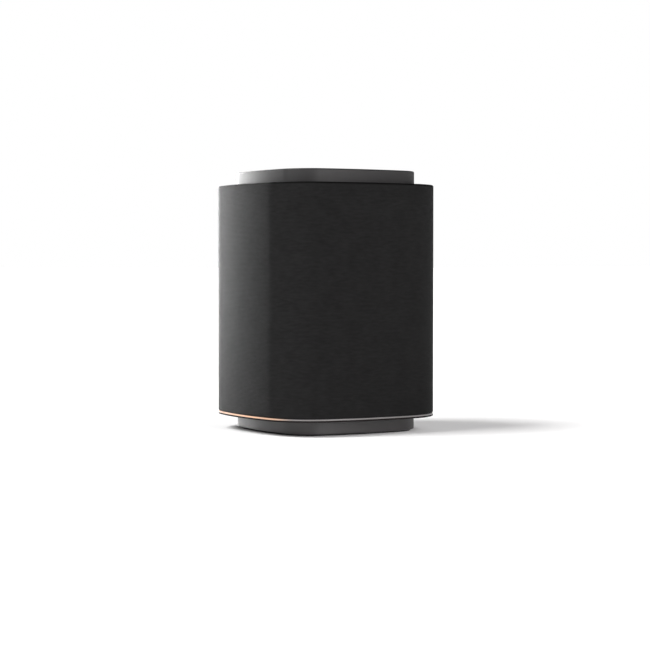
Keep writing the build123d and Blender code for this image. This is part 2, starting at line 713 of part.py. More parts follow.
with BuildPart() as cabinet_shell:
    with BuildSketch(Plane.XY.offset(CABINET_BOTTOM)):
        add(outline(CABINET_INSET))
    extrude(amount=CABINET_TOP - CABINET_BOTTOM)
    with BuildSketch(Plane.XY.offset(CABINET_BOTTOM + CABINET_FLOOR)):
        add(outline(CABINET_INNER))
    extrude(amount=CABINET_TOP, mode=Mode.SUBTRACT)
    # bosses that the tray screws and the lid screws bite in
    with BuildSketch(Plane.XY.offset(CABINET_BOTTOM + CABINET_FLOOR)):
        with GridLocations(2 * CORNER_POST, 2 * CORNER_POST, 2, 2):
            Circle(CORNER_POST_RADIUS)
    extrude(amount=FLOOR_BOSS_TOP - CABINET_BOTTOM - CABINET_FLOOR)
    with BuildSketch(Plane.XY.offset(CABINET_TOP)):
        with GridLocations(2 * LID_BOSS_X, 2 * LID_BOSS_Y, 2, 2):
            Circle(LID_BOSS_RADIUS)
    extrude(amount=-LID_BOSS_DEPTH)
    # thick rings behind the loudspeakers
    with BuildSketch(seat(FRONT, WOOFER_HEIGHT, WOOFER_BOSS_BACK)):
        Circle(WOOFER_BOSS_RADIUS)
    extrude(amount=WOOFER_FACE - WOOFER_BOSS_BACK)
    with BuildSketch(seat(FRONT, TWEETER_HEIGHT, TWEETER_BOSS_BACK)):
        Circle(TWEETER_BOSS_RADIUS)
    extrude(amount=TWEETER_FACE - TWEETER_BOSS_BACK)
    for side in (LEFT, RIGHT):
        with BuildSketch(seat(side, RADIATOR_HEIGHT, RADIATOR_BOSS_BACK)):
            Circle(RADIATOR_BOSS_RADIUS)
        extrude(amount=RADIATOR_FACE - RADIATOR_BOSS_BACK)
    # flat seats and the holes in them
    with BuildSketch(seat(FRONT, WOOFER_HEIGHT, WOOFER_FACE)):
        Circle(WOOFER_FLANGE_RADIUS + SEAT_SLACK)
    extrude(amount=CUT_THROUGH, mode=Mode.SUBTRACT)
    with BuildSketch(seat(FRONT, WOOFER_HEIGHT, WOOFER_FACE)):
        Circle(WOOFER_HOLE_RADIUS)
    extrude(amount=-CUT_THROUGH, mode=Mode.SUBTRACT)
    with BuildSketch(seat(FRONT, TWEETER_HEIGHT, TWEETER_FACE)):
        Circle(TWEETER_RADIUS + SEAT_SLACK)
    extrude(amount=CUT_THROUGH, mode=Mode.SUBTRACT)
    with BuildSketch(seat(FRONT, TWEETER_HEIGHT, TWEETER_FACE)):
        Circle(TWEETER_HOLE_RADIUS)
    extrude(amount=-CUT_THROUGH, mode=Mode.SUBTRACT)
    for side in (LEFT, RIGHT):
        with BuildSketch(seat(side, RADIATOR_HEIGHT, RADIATOR_FACE)):
            Circle(RADIATOR_SEAT_RADIUS)
        extrude(amount=CUT_THROUGH, mode=Mode.SUBTRACT)
        with BuildSketch(seat(side, RADIATOR_HEIGHT, RADIATOR_FACE)):
            Circle(RADIATOR_HOLE_RADIUS)
        extrude(amount=-CUT_THROUGH, mode=Mode.SUBTRACT)
    # pilot holes
    with BuildSketch(Plane.XY.offset(CABINET_BOTTOM)):
        with GridLocations(2 * CORNER_POST, 2 * CORNER_POST, 2, 2):
            Circle(SCREW_RADIUS)
    extrude(amount=FLOOR_BOSS_TOP - CABINET_BOTTOM - BLIND_END, mode=Mode.SUBTRACT)
    with BuildSketch(Plane.XY.offset(CABINET_TOP)):
        with GridLocations(2 * LID_BOSS_X, 2 * LID_BOSS_Y, 2, 2):
            Circle(SCREW_RADIUS)
    extrude(amount=BLIND_END - LID_BOSS_DEPTH, mode=Mode.SUBTRACT)
    with BuildSketch(seat(FRONT, WOOFER_HEIGHT, WOOFER_FACE)):
        with PolarLocations(WOOFER_SCREW_CIRCLE, WOOFER_SCREWS, start_angle=DRIVER_SCREW_TURN):
            Circle(SMALL_SCREW_RADIUS)
    extrude(amount=-WOOFER_PILOT_DEPTH, mode=Mode.SUBTRACT)
    with BuildSketch(seat(FRONT, TWEETER_HEIGHT, TWEETER_FACE)):
        with PolarLocations(TWEETER_SCREW_CIRCLE, TWEETER_SCREWS, start_angle=DRIVER_SCREW_TURN):
            Circle(SMALL_SCREW_RADIUS)
    extrude(amount=-TWEETER_PILOT_DEPTH, mode=Mode.SUBTRACT)

cabinet_shell.part.label = "cabinet_shell"
export_step(cabinet_shell.part, "parts/cabinet_shell.step")


with BuildPart() as cabinet_gasket:
    with BuildSketch(Plane.XY.offset(CABINET_TOP)):
        add(ring(CABINET_INSET, CABINET_INNER))
        with GridLocations(2 * LID_BOSS_X, 2 * LID_BOSS_Y, 2, 2):
            Circle(LID_BOSS_RADIUS)
        with GridLocations(2 * LID_BOSS_X, 2 * LID_BOSS_Y, 2, 2):
            Circle(SCREW_RADIUS + CLEARANCE, mode=Mode.SUBTRACT)
    extrude(amount=LID_BOTTOM - CABINET_TOP)

cabinet_gasket.part.label = "cabinet_gasket"
export_step(cabinet_gasket.part, "parts/cabinet_gasket.step")


LID_LIP_INSET = 13.1
LID_LIP_INNER = 14.8
LID_LIP_DEPTH = 3.0
LID_EDGE = 1.0
LIP_CLEARANCE = 0.8            # round the bosses
TWEETER_NOTCH = 10.0           # depth of the gap in the lip over the tweeter's boss
LID_SCREW_LENGTH = 14.0

with BuildPart() as cabinet_lid:
    with BuildSketch(Plane.XY.offset(LID_BOTTOM)):
        add(outline(CABINET_INSET))
    extrude(amount=LID_TOP - LID_BOTTOM)
    fillet(cabinet_lid.faces().sort_by(Axis.Z)[-1].edges(), LID_EDGE)
    with BuildSketch(Plane.XY.offset(LID_BOTTOM)):
        add(ring(LID_LIP_INSET, LID_LIP_INNER))
        with GridLocations(2 * LID_BOSS_X, 2 * LID_BOSS_Y, 2, 2):
            Circle(LID_BOSS_RADIUS + LIP_CLEARANCE, mode=Mode.SUBTRACT)
        with Locations((0, -half_width(LID_LIP_INSET))):
            Rectangle(2 * TWEETER_BOSS_RADIUS, TWEETER_NOTCH, mode=Mode.SUBTRACT)
    extrude(amount=-LID_LIP_DEPTH)
    with BuildSketch(Plane.XY.offset(LID_TOP)):
        with GridLocations(2 * CORNER_POST, 2 * CORNER_POST, 2, 2):
            Circle(CORNER_POST_RADIUS)
    extrude(amount=EAR_BOTTOM - LID_TOP)
    with BuildSketch(Plane.XY.offset(EAR_BOTTOM)):
        with GridLocations(2 * CORNER_POST, 2 * CORNER_POST, 2, 2):
            Circle(SCREW_RADIUS)
    extrude(amount=LID_BOTTOM + BLIND_END - EAR_BOTTOM, mode=Mode.SUBTRACT)
    with BuildSketch(Plane.XY.offset(LID_BOTTOM)):
        with GridLocations(2 * LID_BOSS_X, 2 * LID_BOSS_Y, 2, 2):
            Circle(SCREW_RADIUS + CLEARANCE)
    extrude(amount=LID_TOP - LID_BOTTOM, mode=Mode.SUBTRACT)

cabinet_lid.part.label = "cabinet_lid"
export_step(cabinet_lid.part, "parts/cabinet_lid.step")


with BuildPart() as lid_screws:
    with Locations((0, 0, LID_TOP)):
        with GridLocations(2 * LID_BOSS_X, 2 * LID_BOSS_Y, 2, 2):
            add(screw(HEAD_RADIUS, HEAD_HEIGHT, SCREW_RADIUS, LID_SCREW_LENGTH))

lid_screws.part.label = "lid_screws"
export_step(lid_screws.part, "parts/lid_screws.step")


WADDING_FRONT = 12.0
WADDING_BACK = 43.0
WADDING_WIDTH = 54.0
WADDING_HEIGHT = 103.0
WADDING_CORNER = 8.0
WADDING_EDGE = 5.0

with BuildPart() as acoustic_wadding:
    with BuildSketch(Plane.XY.offset(CABINET_BOTTOM + CABINET_FLOOR)):
        with Locations((0, (WADDING_FRONT + WADDING_BACK) / 2)):
            RectangleRounded(WADDING_WIDTH, WADDING_BACK - WADDING_FRONT, WADDING_CORNER)
    extrude(amount=WADDING_HEIGHT)
    fillet(acoustic_wadding.faces().sort_by(Axis.Z)[-1].edges(), WADDING_EDGE)

acoustic_wadding.part.label = "acoustic_wadding"
export_step(acoustic_wadding.part, "parts/acoustic_wadding.step")


# ================================================================== woofer
FLANGE_BACK = WOOFER_FACE + WOOFER_GASKET
FLANGE_INNER = 29.9
LEDGE_FRONT = 30.5
LEDGE_OUTER = 21.0
LEDGE_INNER = 18.8
BASKET_WALL = 1.2
BASKET_CONE_WALL = 1.1         # across the sloping side
PLATE_OPENING = 11.0
WINDOW_LONG = 80.0
WINDOW_SHORT = 20.0
WINDOW_DEPTH = 12.0
WINDOW_MIDDLE = 38.5
FLANGE_THICKNESS = WOOFER_FRONT - FLANGE_BACK

with BuildPart() as woofer_gasket:
    with BuildSketch(seat(FRONT, WOOFER_HEIGHT, WOOFER_FACE)):
        Circle(WOOFER_FLANGE_RADIUS)
        Circle(WOOFER_HOLE_RADIUS, mode=Mode.SUBTRACT)
        with PolarLocations(WOOFER_SCREW_CIRCLE, WOOFER_SCREWS, start_angle=DRIVER_SCREW_TURN):
            Circle(SMALL_SCREW_RADIUS + CLEARANCE, mode=Mode.SUBTRACT)
    extrude(amount=WOOFER_GASKET)

woofer_gasket.part.label = "woofer_gasket"
export_step(woofer_gasket.part, "parts/woofer_gasket.step")


with BuildPart() as woofer_basket:
    with BuildSketch(facing(FRONT, WOOFER_HEIGHT)):
        with BuildLine():
            Polyline(
                (FLANGE_BACK, WOOFER_FLANGE_RADIUS),
                (WOOFER_FRONT, WOOFER_FLANGE_RADIUS),
                (WOOFER_FRONT, FLANGE_INNER),
                (LEDGE_FRONT, LEDGE_OUTER),
                (LEDGE_FRONT, LEDGE_INNER),
                (LEDGE_FRONT - BASKET_WALL, LEDGE_INNER),
                (PLATE_FRONT + BASKET_WALL, LEDGE_INNER - BASKET_WALL),
                (PLATE_FRONT + BASKET_WALL, PLATE_OPENING),
                (PLATE_FRONT, PLATE_OPENING),
                (PLATE_FRONT, LEDGE_INNER),
                (LEDGE_FRONT - BASKET_WALL, LEDGE_OUTER + BASKET_CONE_WALL),
                (FLANGE_BACK, FLANGE_INNER + BASKET_CONE_WALL),
                close=True,
            )
        make_face()
    revolve(axis=facing_axis(FRONT, WOOFER_HEIGHT))
    # four windows between the spokes
    for width, height in ((WINDOW_LONG, WINDOW_SHORT), (WINDOW_SHORT, WINDOW_LONG)):
        with Locations((0, -WINDOW_MIDDLE, WOOFER_HEIGHT)):
            Box(width, WINDOW_DEPTH, height, mode=Mode.SUBTRACT)
    with BuildSketch(seat(FRONT, WOOFER_HEIGHT, WOOFER_FRONT)):
        with PolarLocations(WOOFER_SCREW_CIRCLE, WOOFER_SCREWS, start_angle=DRIVER_SCREW_TURN):
            Circle(SMALL_SCREW_RADIUS + CLEARANCE)
    extrude(amount=-FLANGE_THICKNESS, mode=Mode.SUBTRACT)

woofer_basket.part.label = "woofer_basket"
export_step(woofer_basket.part, "parts/woofer_basket.step")


COIL_GAP = 0.35                # between the voice coil and the plate round it
MAGNET_HOLE_RADIUS = 9.0
MAGNET_EDGE = 0.8
VENT_RADIUS = 2.0

with BuildPart() as woofer_top_plate:
    with BuildSketch(seat(FRONT, WOOFER_HEIGHT, PLATE_BACK)):
        Circle(MAGNET_RADIUS)
        Circle(COIL_OUTER + COIL_GAP, mode=Mode.SUBTRACT)
    extrude(amount=PLATE_FRONT - PLATE_BACK)

woofer_top_plate.part.label = "woofer_top_plate"
export_step(woofer_top_plate.part, "parts/woofer_top_plate.step")


with BuildPart() as woofer_magnet:
    with BuildSketch(seat(FRONT, WOOFER_HEIGHT, MAGNET_BACK)):
        Circle(MAGNET_RADIUS)
        Circle(MAGNET_HOLE_RADIUS, mode=Mode.SUBTRACT)
    extrude(amount=PLATE_BACK - MAGNET_BACK)
    outer_edges = woofer_magnet.edges().filter_by(GeomType.CIRCLE).sort_by(SortBy.RADIUS)[-2:]
    chamfer(outer_edges, MAGNET_EDGE)

woofer_magnet.part.label = "woofer_magnet"
export_step(woofer_magnet.part, "parts/woofer_magnet.step")


with BuildPart() as woofer_yoke:
    with BuildSketch(seat(FRONT, WOOFER_HEIGHT, YOKE_BACK)):
        Circle(MAGNET_RADIUS)
    extrude(amount=MAGNET_BACK - YOKE_BACK)
    with BuildSketch(seat(FRONT, WOOFER_HEIGHT, MAGNET_BACK)):
        Circle(POLE_RADIUS)
    extrude(amount=PLATE_FRONT - MAGNET_BACK)
    with BuildSketch(seat(FRONT, WOOFER_HEIGHT, YOKE_BACK)):
        Circle(VENT_RADIUS)
    extrude(amount=PLATE_FRONT, mode=Mode.SUBTRACT)

woofer_yoke.part.label = "woofer_yoke"
export_step(woofer_yoke.part, "parts/woofer_yoke.step")


SPIDER_THICKNESS = 0.5
SPIDER_WAVE = 0.7
SPIDER_INNER = COIL_OUTER + 0.15
SPIDER_WAVES = 5
SPIDER_FLAT = 18.8
SPIDER_OUTER = LEDGE_OUTER - 0.2

with BuildPart() as woofer_spider:
    wave_step = (SPIDER_FLAT - SPIDER_INNER) / (2 * SPIDER_WAVES)
    crests = [
        (LEDGE_FRONT + SPIDER_WAVE * (number % 2), SPIDER_INNER + wave_step * number)
        for number in range(2 * SPIDER_WAVES + 1)
    ]
    back_line = crests + [(LEDGE_FRONT, SPIDER_OUTER)]
    front_line = [(forward + SPIDER_THICKNESS, radius) for forward, radius in reversed(back_line)]
    with BuildSketch(facing(FRONT, WOOFER_HEIGHT)):
        with BuildLine():
            Polyline(*back_line, *front_line, close=True)
        make_face()
    revolve(axis=facing_axis(FRONT, WOOFER_HEIGHT))

woofer_spider.part.label = "woofer_spider"
export_step(woofer_spider.part, "parts/woofer_spider.step")


SURROUND_THICKNESS = 0.5
WOOFER_ROLL_INNER = 24.6
WOOFER_ROLL_CENTRE = 28.1
WOOFER_ROLL_OUTER = 32.1
WOOFER_ROLL_RADIUS = 2.4

with BuildPart() as woofer_surround:
    with BuildSketch(facing(FRONT, WOOFER_HEIGHT)):
        add(
            roll_profile(
                WOOFER_FRONT,
                WOOFER_ROLL_INNER,
                WOOFER_ROLL_CENTRE,
                WOOFER_ROLL_OUTER,
                WOOFER_ROLL_RADIUS,
                SURROUND_THICKNESS,
            )
        )
    revolve(axis=facing_axis(FRONT, WOOFER_HEIGHT))

woofer_surround.part.label = "woofer_surround"
export_step(woofer_surround.part, "parts/woofer_surround.step")


CONE_BACK = 35.5
CONE_THROAT = 36.7             # front surface where it meets the voice coil
CONE_RIM_INNER = 24.4
CONE_RIM = 1.0
CONE_WALL = 0.4                # behind the rim's step
CONE_SLOPE = (WOOFER_FRONT - CONE_THROAT) / (CONE_RIM_INNER - COIL_OUTER)

with BuildPart() as woofer_cone:
    with BuildSketch(facing(FRONT, WOOFER_HEIGHT)):
        with BuildLine():
            Polyline(
                (CONE_BACK, COIL_OUTER),
                (WOOFER_FRONT - CONE_RIM, CONE_RIM_INNER + CONE_WALL),
                (WOOFER_FRONT - CONE_RIM, CONE_RADIUS),
                (WOOFER_FRONT, CONE_RADIUS),
                (WOOFER_FRONT, CONE_RIM_INNER),
                (CONE_THROAT, COIL_OUTER),
                close=True,
            )
        make_face()
    revolve(axis=facing_axis(FRONT, WOOFER_HEIGHT))

woofer_cone.part.label = "woofer_cone"
export_step(woofer_cone.part, "parts/woofer_cone.step")


CAP_RIM_OUTER = 9.1
CAP_RIM_INNER = 8.5
DUST_CAP_FRONT = 41.2
DUST_CAP_WALL = 0.6

with BuildPart() as woofer_dust_cap:
    rim_outer = (CONE_THROAT + CONE_SLOPE * (CAP_RIM_OUTER - COIL_OUTER), CAP_RIM_OUTER)
    rim_inner = (CONE_THROAT + CONE_SLOPE * (CAP_RIM_INNER - COIL_OUTER), CAP_RIM_INNER)
    with BuildSketch(facing(FRONT, WOOFER_HEIGHT)):
        with BuildLine():
            TangentArc((DUST_CAP_FRONT, 0), rim_outer, tangent=(0, 1))
            Line(rim_outer, rim_inner)
            TangentArc((DUST_CAP_FRONT - DUST_CAP_WALL, 0), rim_inner, tangent=(0, 1))
            Line((DUST_CAP_FRONT - DUST_CAP_WALL, 0), (DUST_CAP_FRONT, 0))
        make_face()
    revolve(axis=facing_axis(FRONT, WOOFER_HEIGHT))

woofer_dust_cap.part.label = "woofer_dust_cap"
export_step(woofer_dust_cap.part, "parts/woofer_dust_cap.step")


COIL_BACK = 20.0

with BuildPart() as woofer_voice_coil:
    with BuildSketch(seat(FRONT, WOOFER_HEIGHT, COIL_BACK)):
        Circle(COIL_OUTER)
        Circle(COIL_INNER, mode=Mode.SUBTRACT)
    extrude(amount=CONE_THROAT - COIL_BACK)

woofer_voice_coil.part.label = "woofer_voice_coil"
export_step(woofer_voice_coil.part, "parts/woofer_voice_coil.step")


# ================================================================== tweeter
FACEPLATE_THICKNESS = 1.8
DOME_OPENING = 9.6
MOTOR_RADIUS = 12.0
MOTOR_LENGTH = 14.0
MOTOR_GAP_INNER = 7.8
MOTOR_GAP_OUTER = 9.0
MOTOR_GAP_DEPTH = 5.2

with BuildPart() as tweeter_faceplate:
    with BuildSketch(seat(FRONT, TWEETER_HEIGHT, TWEETER_FACE)):
        Circle(TWEETER_RADIUS)
        Circle(DOME_OPENING, mode=Mode.SUBTRACT)
        with PolarLocations(TWEETER_SCREW_CIRCLE, TWEETER_SCREWS, start_angle=DRIVER_SCREW_TURN):
            Circle(SMALL_SCREW_RADIUS + CLEARANCE, mode=Mode.SUBTRACT)
    extrude(amount=FACEPLATE_THICKNESS)

tweeter_faceplate.part.label = "tweeter_faceplate"
export_step(tweeter_faceplate.part, "parts/tweeter_faceplate.step")


with BuildPart() as tweeter_motor:
    with BuildSketch(seat(FRONT, TWEETER_HEIGHT, TWEETER_FACE)):
        Circle(MOTOR_RADIUS)
    extrude(amount=-MOTOR_LENGTH)
    with BuildSketch(seat(FRONT, TWEETER_HEIGHT, TWEETER_FACE)):
        Circle(MOTOR_GAP_OUTER)
        Circle(MOTOR_GAP_INNER, mode=Mode.SUBTRACT)
    extrude(amount=-MOTOR_GAP_DEPTH, mode=Mode.SUBTRACT)

tweeter_motor.part.label = "tweeter_motor"
export_step(tweeter_motor.part, "parts/tweeter_motor.step")


DOME_RADIUS = 9.0
DOME_RIM = 48.7
DOME_LIP = 0.3
DOME_FRONT = 51.6
DOME_WALL = 0.5
FORMER_OUTER = 8.6
FORMER_INNER = 8.2
FORMER_BACK = 45.0

with BuildPart() as tweeter_dome:
    with BuildSketch(facing(FRONT, TWEETER_HEIGHT)):
        with BuildLine():
            TangentArc((DOME_FRONT, 0), (DOME_RIM + DOME_LIP, DOME_RADIUS), tangent=(0, 1))
            Polyline(
                (DOME_RIM + DOME_LIP, DOME_RADIUS),
                (DOME_RIM, DOME_RADIUS),
                (DOME_RIM, FORMER_OUTER),
                (FORMER_BACK, FORMER_OUTER),
                (FORMER_BACK, FORMER_INNER),
                (DOME_RIM, FORMER_INNER),
            )
            TangentArc((DOME_FRONT - DOME_WALL, 0), (DOME_RIM, FORMER_INNER), tangent=(0, 1))
            Line((DOME_FRONT - DOME_WALL, 0), (DOME_FRONT, 0))
        make_face()
    revolve(axis=facing_axis(FRONT, TWEETER_HEIGHT))

tweeter_dome.part.label = "tweeter_dome"
export_step(tweeter_dome.part, "parts/tweeter_dome.step")


WOOFER_SCREW_LENGTH = 8.5
WOOFER_HEAD_RADIUS = 1.6
WOOFER_HEAD_HEIGHT = 1.1
TWEETER_SCREW_LENGTH = 5.5
TWEETER_HEAD_RADIUS = 1.4
TWEETER_HEAD_HEIGHT = 0.9
TWEETER_PLATE_FRONT = TWEETER_FACE + FACEPLATE_THICKNESS

with BuildPart() as driver_screws:
    with Locations(seat(FRONT, WOOFER_HEIGHT, WOOFER_FRONT)):
        with PolarLocations(WOOFER_SCREW_CIRCLE, WOOFER_SCREWS, start_angle=DRIVER_SCREW_TURN):
            add(
                screw(
                    WOOFER_HEAD_RADIUS,
                    WOOFER_HEAD_HEIGHT,
                    SMALL_SCREW_RADIUS,
                    WOOFER_SCREW_LENGTH,
                )
            )
    with Locations(seat(FRONT, TWEETER_HEIGHT, TWEETER_PLATE_FRONT)):
        with PolarLocations(TWEETER_SCREW_CIRCLE, TWEETER_SCREWS, start_angle=DRIVER_SCREW_TURN):
            add(
                screw(
                    TWEETER_HEAD_RADIUS,
                    TWEETER_HEAD_HEIGHT,
                    SMALL_SCREW_RADIUS,
                    TWEETER_SCREW_LENGTH,
                )
            )

driver_screws.part.label = "driver_screws"
export_step(driver_screws.part, "parts/driver_screws.step")


# ================================================================== passive radiators
PLATE_THICKNESS = 1.2
WEIGHT_RADIUS = 11.0
WEIGHT_DEPTH = 3.0
RADIATOR_ROLL_INNER = 18.6
RADIATOR_ROLL_CENTRE = 22.5
RADIATOR_ROLL_OUTER = 29.4
RADIATOR_ROLL_RADIUS = 2.5

for side_name, side in (("left", LEFT), ("right", RIGHT)):
    with BuildPart() as radiator_surround:
        with BuildSketch(facing(side, RADIATOR_HEIGHT)):
            add(
                roll_profile(
                    RADIATOR_FACE,
                    RADIATOR_ROLL_INNER,
                    RADIATOR_ROLL_CENTRE,
                    RADIATOR_ROLL_OUTER,
                    RADIATOR_ROLL_RADIUS,
                    SURROUND_THICKNESS,
                )
            )
        revolve(axis=facing_axis(side, RADIATOR_HEIGHT))
    radiator_surround.part.label = f"{side_name}_radiator_surround"
    export_step(radiator_surround.part, f"parts/{side_name}_radiator_surround.step")

    with BuildPart() as radiator_diaphragm:
        with BuildSketch(seat(side, RADIATOR_HEIGHT, RADIATOR_FACE)):
            Circle(RADIATOR_RADIUS)
        extrude(amount=-PLATE_THICKNESS)
        with BuildSketch(seat(side, RADIATOR_HEIGHT, RADIATOR_FACE - PLATE_THICKNESS)):
            Circle(WEIGHT_RADIUS)
        extrude(amount=-WEIGHT_DEPTH)
    radiator_diaphragm.part.label = f"{side_name}_radiator_diaphragm"
    export_step(radiator_diaphragm.part, f"parts/{side_name}_radiator_diaphragm.step")


# ================================================================== grille shell and fabric
SLOT_WIDTH = 3.2
SLOT_HEIGHT = 14.0
SLOT_PITCH = 6.4
SLOT_COLUMNS = 9
SLOT_ROW_PITCH = 18.5
SLOT_ROWS = 7
SLOT_MIDDLE = 82.0
EAR_WIDTH = 10.0
EAR_INNER = 41.0               # reach of the ears, measured along the diagonal
EAR_OUTER = 64.0
SHELL_SCREW_LENGTH = 10.0

with BuildPart() as grille_shell:
    with BuildSketch(Plane.XY.offset(LIGHT_TOP)):
        add(ring(FABRIC, SHELL_INNER))
    extrude(amount=SHOULDER_BOTTOM - LIGHT_TOP)
    for upright in (Plane.XZ, Plane.YZ):
        with BuildSketch(upright):
            with Locations((0, SLOT_MIDDLE)):
                with GridLocations(SLOT_PITCH, SLOT_ROW_PITCH, SLOT_COLUMNS, SLOT_ROWS):
                    Rectangle(SLOT_WIDTH, SLOT_HEIGHT)
        extrude(amount=WIDTH, both=True, mode=Mode.SUBTRACT)
    with BuildSketch(Plane.XY.offset(SHOULDER_BOTTOM)):
        add(ring(FABRIC, SHOULDER_INSET))
    extrude(amount=SHOULDER_TOP - SHOULDER_BOTTOM)
    with BuildSketch(Plane.XY.offset(EAR_BOTTOM)):
        for diagonal in range(4):
            with PolarLocations((EAR_INNER + EAR_OUTER) / 2, 1, start_angle=45 + 90 * diagonal):
                Rectangle(EAR_OUTER - EAR_INNER, EAR_WIDTH)
    extrude(amount=SHOULDER_BOTTOM - EAR_BOTTOM)
    with BuildSketch(Plane.XY.offset(EAR_BOTTOM)):
        with GridLocations(2 * CORNER_POST, 2 * CORNER_POST, 2, 2):
            Circle(SCREW_RADIUS + CLEARANCE)
    extrude(amount=SHOULDER_BOTTOM - EAR_BOTTOM, mode=Mode.SUBTRACT)

grille_shell.part.label = "grille_shell"
export_step(grille_shell.part, "parts/grille_shell.step")


with BuildPart() as shell_screws:
    with Locations((0, 0, SHOULDER_BOTTOM)):
        with GridLocations(2 * CORNER_POST, 2 * CORNER_POST, 2, 2):
            add(screw(HEAD_RADIUS, HEAD_HEIGHT, SCREW_RADIUS, SHELL_SCREW_LENGTH))

shell_screws.part.label = "shell_screws"
export_step(shell_screws.part, "parts/shell_screws.step")


SLEEVE_INNER = 13.6            # how far the fabric reaches in over the shoulder
SLEEVE_SHOULDER = 1.0

with BuildPart() as fabric_sleeve:
    with BuildSketch(Plane.XY.offset(SLEEVE_BOTTOM)):
        add(outline())
    extrude(amount=BODY_TOP - SLEEVE_BOTTOM)
    fillet(fabric_sleeve.faces().sort_by(Axis.Z)[-1].edges(), SLEEVE_SHOULDER)
    with BuildSketch(Plane.XY.offset(SLEEVE_BOTTOM)):
        add(outline(FABRIC))
    extrude(amount=SHOULDER_TOP - SLEEVE_BOTTOM, mode=Mode.SUBTRACT)
    with BuildSketch(Plane.XY.offset(SHOULDER_TOP)):
        add(outline(SLEEVE_INNER))
    extrude(amount=BODY_TOP - SHOULDER_TOP, mode=Mode.SUBTRACT)

fabric_sleeve.part.label = "fabric_sleeve"
export_step(fabric_sleeve.part, "parts/fabric_sleeve.step")


# ================================================================== top cap
CAP_EDGE = 0.8
SPIGOT_BOTTOM = 148.8
BARB_BOTTOM = 147.0
BARB_TOP = 148.4
BARB_INSET = 13.8
BARB_WIDTH = 10.0
CAP_BOSS_RADIUS = 2.5
MIC_HOLE_RADIUS = 0.6

with BuildPart() as top_cap:
    with BuildSketch(Plane.XY.offset(BODY_TOP)):
        add(outline(CAP_INSET))
    extrude(amount=HEIGHT - BODY_TOP)
    fillet(top_cap.faces().sort_by(Axis.Z)[-1].edges(), CAP_EDGE)
    with BuildSketch(Plane.XY.offset(BODY_TOP)):
        add(outline(CAP_INSET + CAP_WALL))
    extrude(amount=CAP_PLATE_BOTTOM - BODY_TOP, mode=Mode.SUBTRACT)
    # spigot that drops inside the shoulder of the shell, with a barb on the left and the right
    with BuildSketch(Plane.XY.offset(SPIGOT_BOTTOM)):
        add(ring(SPIGOT_INSET, SPIGOT_INSET + SPIGOT_WALL))
    extrude(amount=CAP_PLATE_BOTTOM - SPIGOT_BOTTOM)
    with BuildSketch(Plane.XY.offset(BARB_BOTTOM)):
        add(ring(SPIGOT_INSET, SPIGOT_INSET + SPIGOT_WALL))
        Rectangle(WIDTH, BARB_WIDTH, mode=Mode.INTERSECT)
    extrude(amount=SPIGOT_BOTTOM - BARB_BOTTOM)
    with BuildSketch(Plane.XY.offset(BARB_BOTTOM)):
        add(ring(BARB_INSET, SPIGOT_INSET))
        Rectangle(WIDTH, BARB_WIDTH, mode=Mode.INTERSECT)
    extrude(amount=BARB_TOP - BARB_BOTTOM)
    # bosses for the control board
    with BuildSketch(Plane.XY.offset(CAP_PLATE_BOTTOM)):
        with PolarLocations(CAP_BOSS_CIRCLE, 4):
            Circle(CAP_BOSS_RADIUS)
    extrude(amount=CONTROL_BOARD_TOP - CAP_PLATE_BOTTOM)
    with BuildSketch(Plane.XY.offset(CONTROL_BOARD_TOP)):
        with PolarLocations(CAP_BOSS_CIRCLE, 4):
            Circle(SMALL_SCREW_RADIUS)
    extrude(amount=CAP_PLATE_BOTTOM - CONTROL_BOARD_TOP - BLIND_END, mode=Mode.SUBTRACT)
    # dish, key holes, microphone holes and the hole for the indicator
    with BuildSketch(Plane.XY.offset(HEIGHT)):
        Circle(DISH_RADIUS)
    extrude(amount=-DISH_DEPTH, mode=Mode.SUBTRACT)
    with BuildSketch(Plane.XY.offset(CAP_PLATE_BOTTOM)):
        with Locations(*KEY_PLACES):
            Circle(KEY_RADIUS + KEY_GAP)
        with GridLocations(2 * MIC_PLACE, 2 * MIC_PLACE, 2, 2):
            Circle(MIC_HOLE_RADIUS)
        with Locations((0, INDICATOR_PLACE)):
            Circle(INDICATOR_RADIUS)
    extrude(amount=HEIGHT - CAP_PLATE_BOTTOM, mode=Mode.SUBTRACT)

top_cap.part.label = "top_cap"
export_step(top_cap.part, "parts/top_cap.step")


CONTROL_BOARD_INSET = 17.2
LOW_HEAD_HEIGHT = 1.2
CONTROL_SCREW_LENGTH = 6.2
MIC_WIDTH = 3.8
MIC_DEPTH = 3.0
MIC_THICKNESS = 1.0
MIC_GASKET_RADIUS = 2.2

with BuildPart() as control_board:
    with BuildSketch(Plane.XY.offset(CONTROL_BOARD_BOTTOM)):
        add(outline(CONTROL_BOARD_INSET))
        with PolarLocations(CAP_BOSS_CIRCLE, 4):
            Circle(SMALL_SCREW_RADIUS + CLEARANCE, mode=Mode.SUBTRACT)
        with GridLocations(2 * MIC_PLACE, 2 * MIC_PLACE, 2, 2):
            Circle(MIC_HOLE_RADIUS, mode=Mode.SUBTRACT)
    extrude(amount=BOARD_THICKNESS)

control_board.part.label = "control_board"
export_step(control_board.part, "parts/control_board.step")


with BuildPart() as control_board_screws:
    with Locations((0, 0, CONTROL_BOARD_BOTTOM)):
        with PolarLocations(CAP_BOSS_CIRCLE, 4):
            add(
                screw(
                    SMALL_HEAD_RADIUS,
                    LOW_HEAD_HEIGHT,
                    SMALL_SCREW_RADIUS,
                    CONTROL_SCREW_LENGTH,
                ),
                rotation=(180, 0, 0),
            )

control_board_screws.part.label = "control_board_screws"
export_step(control_board_screws.part, "parts/control_board_screws.step")


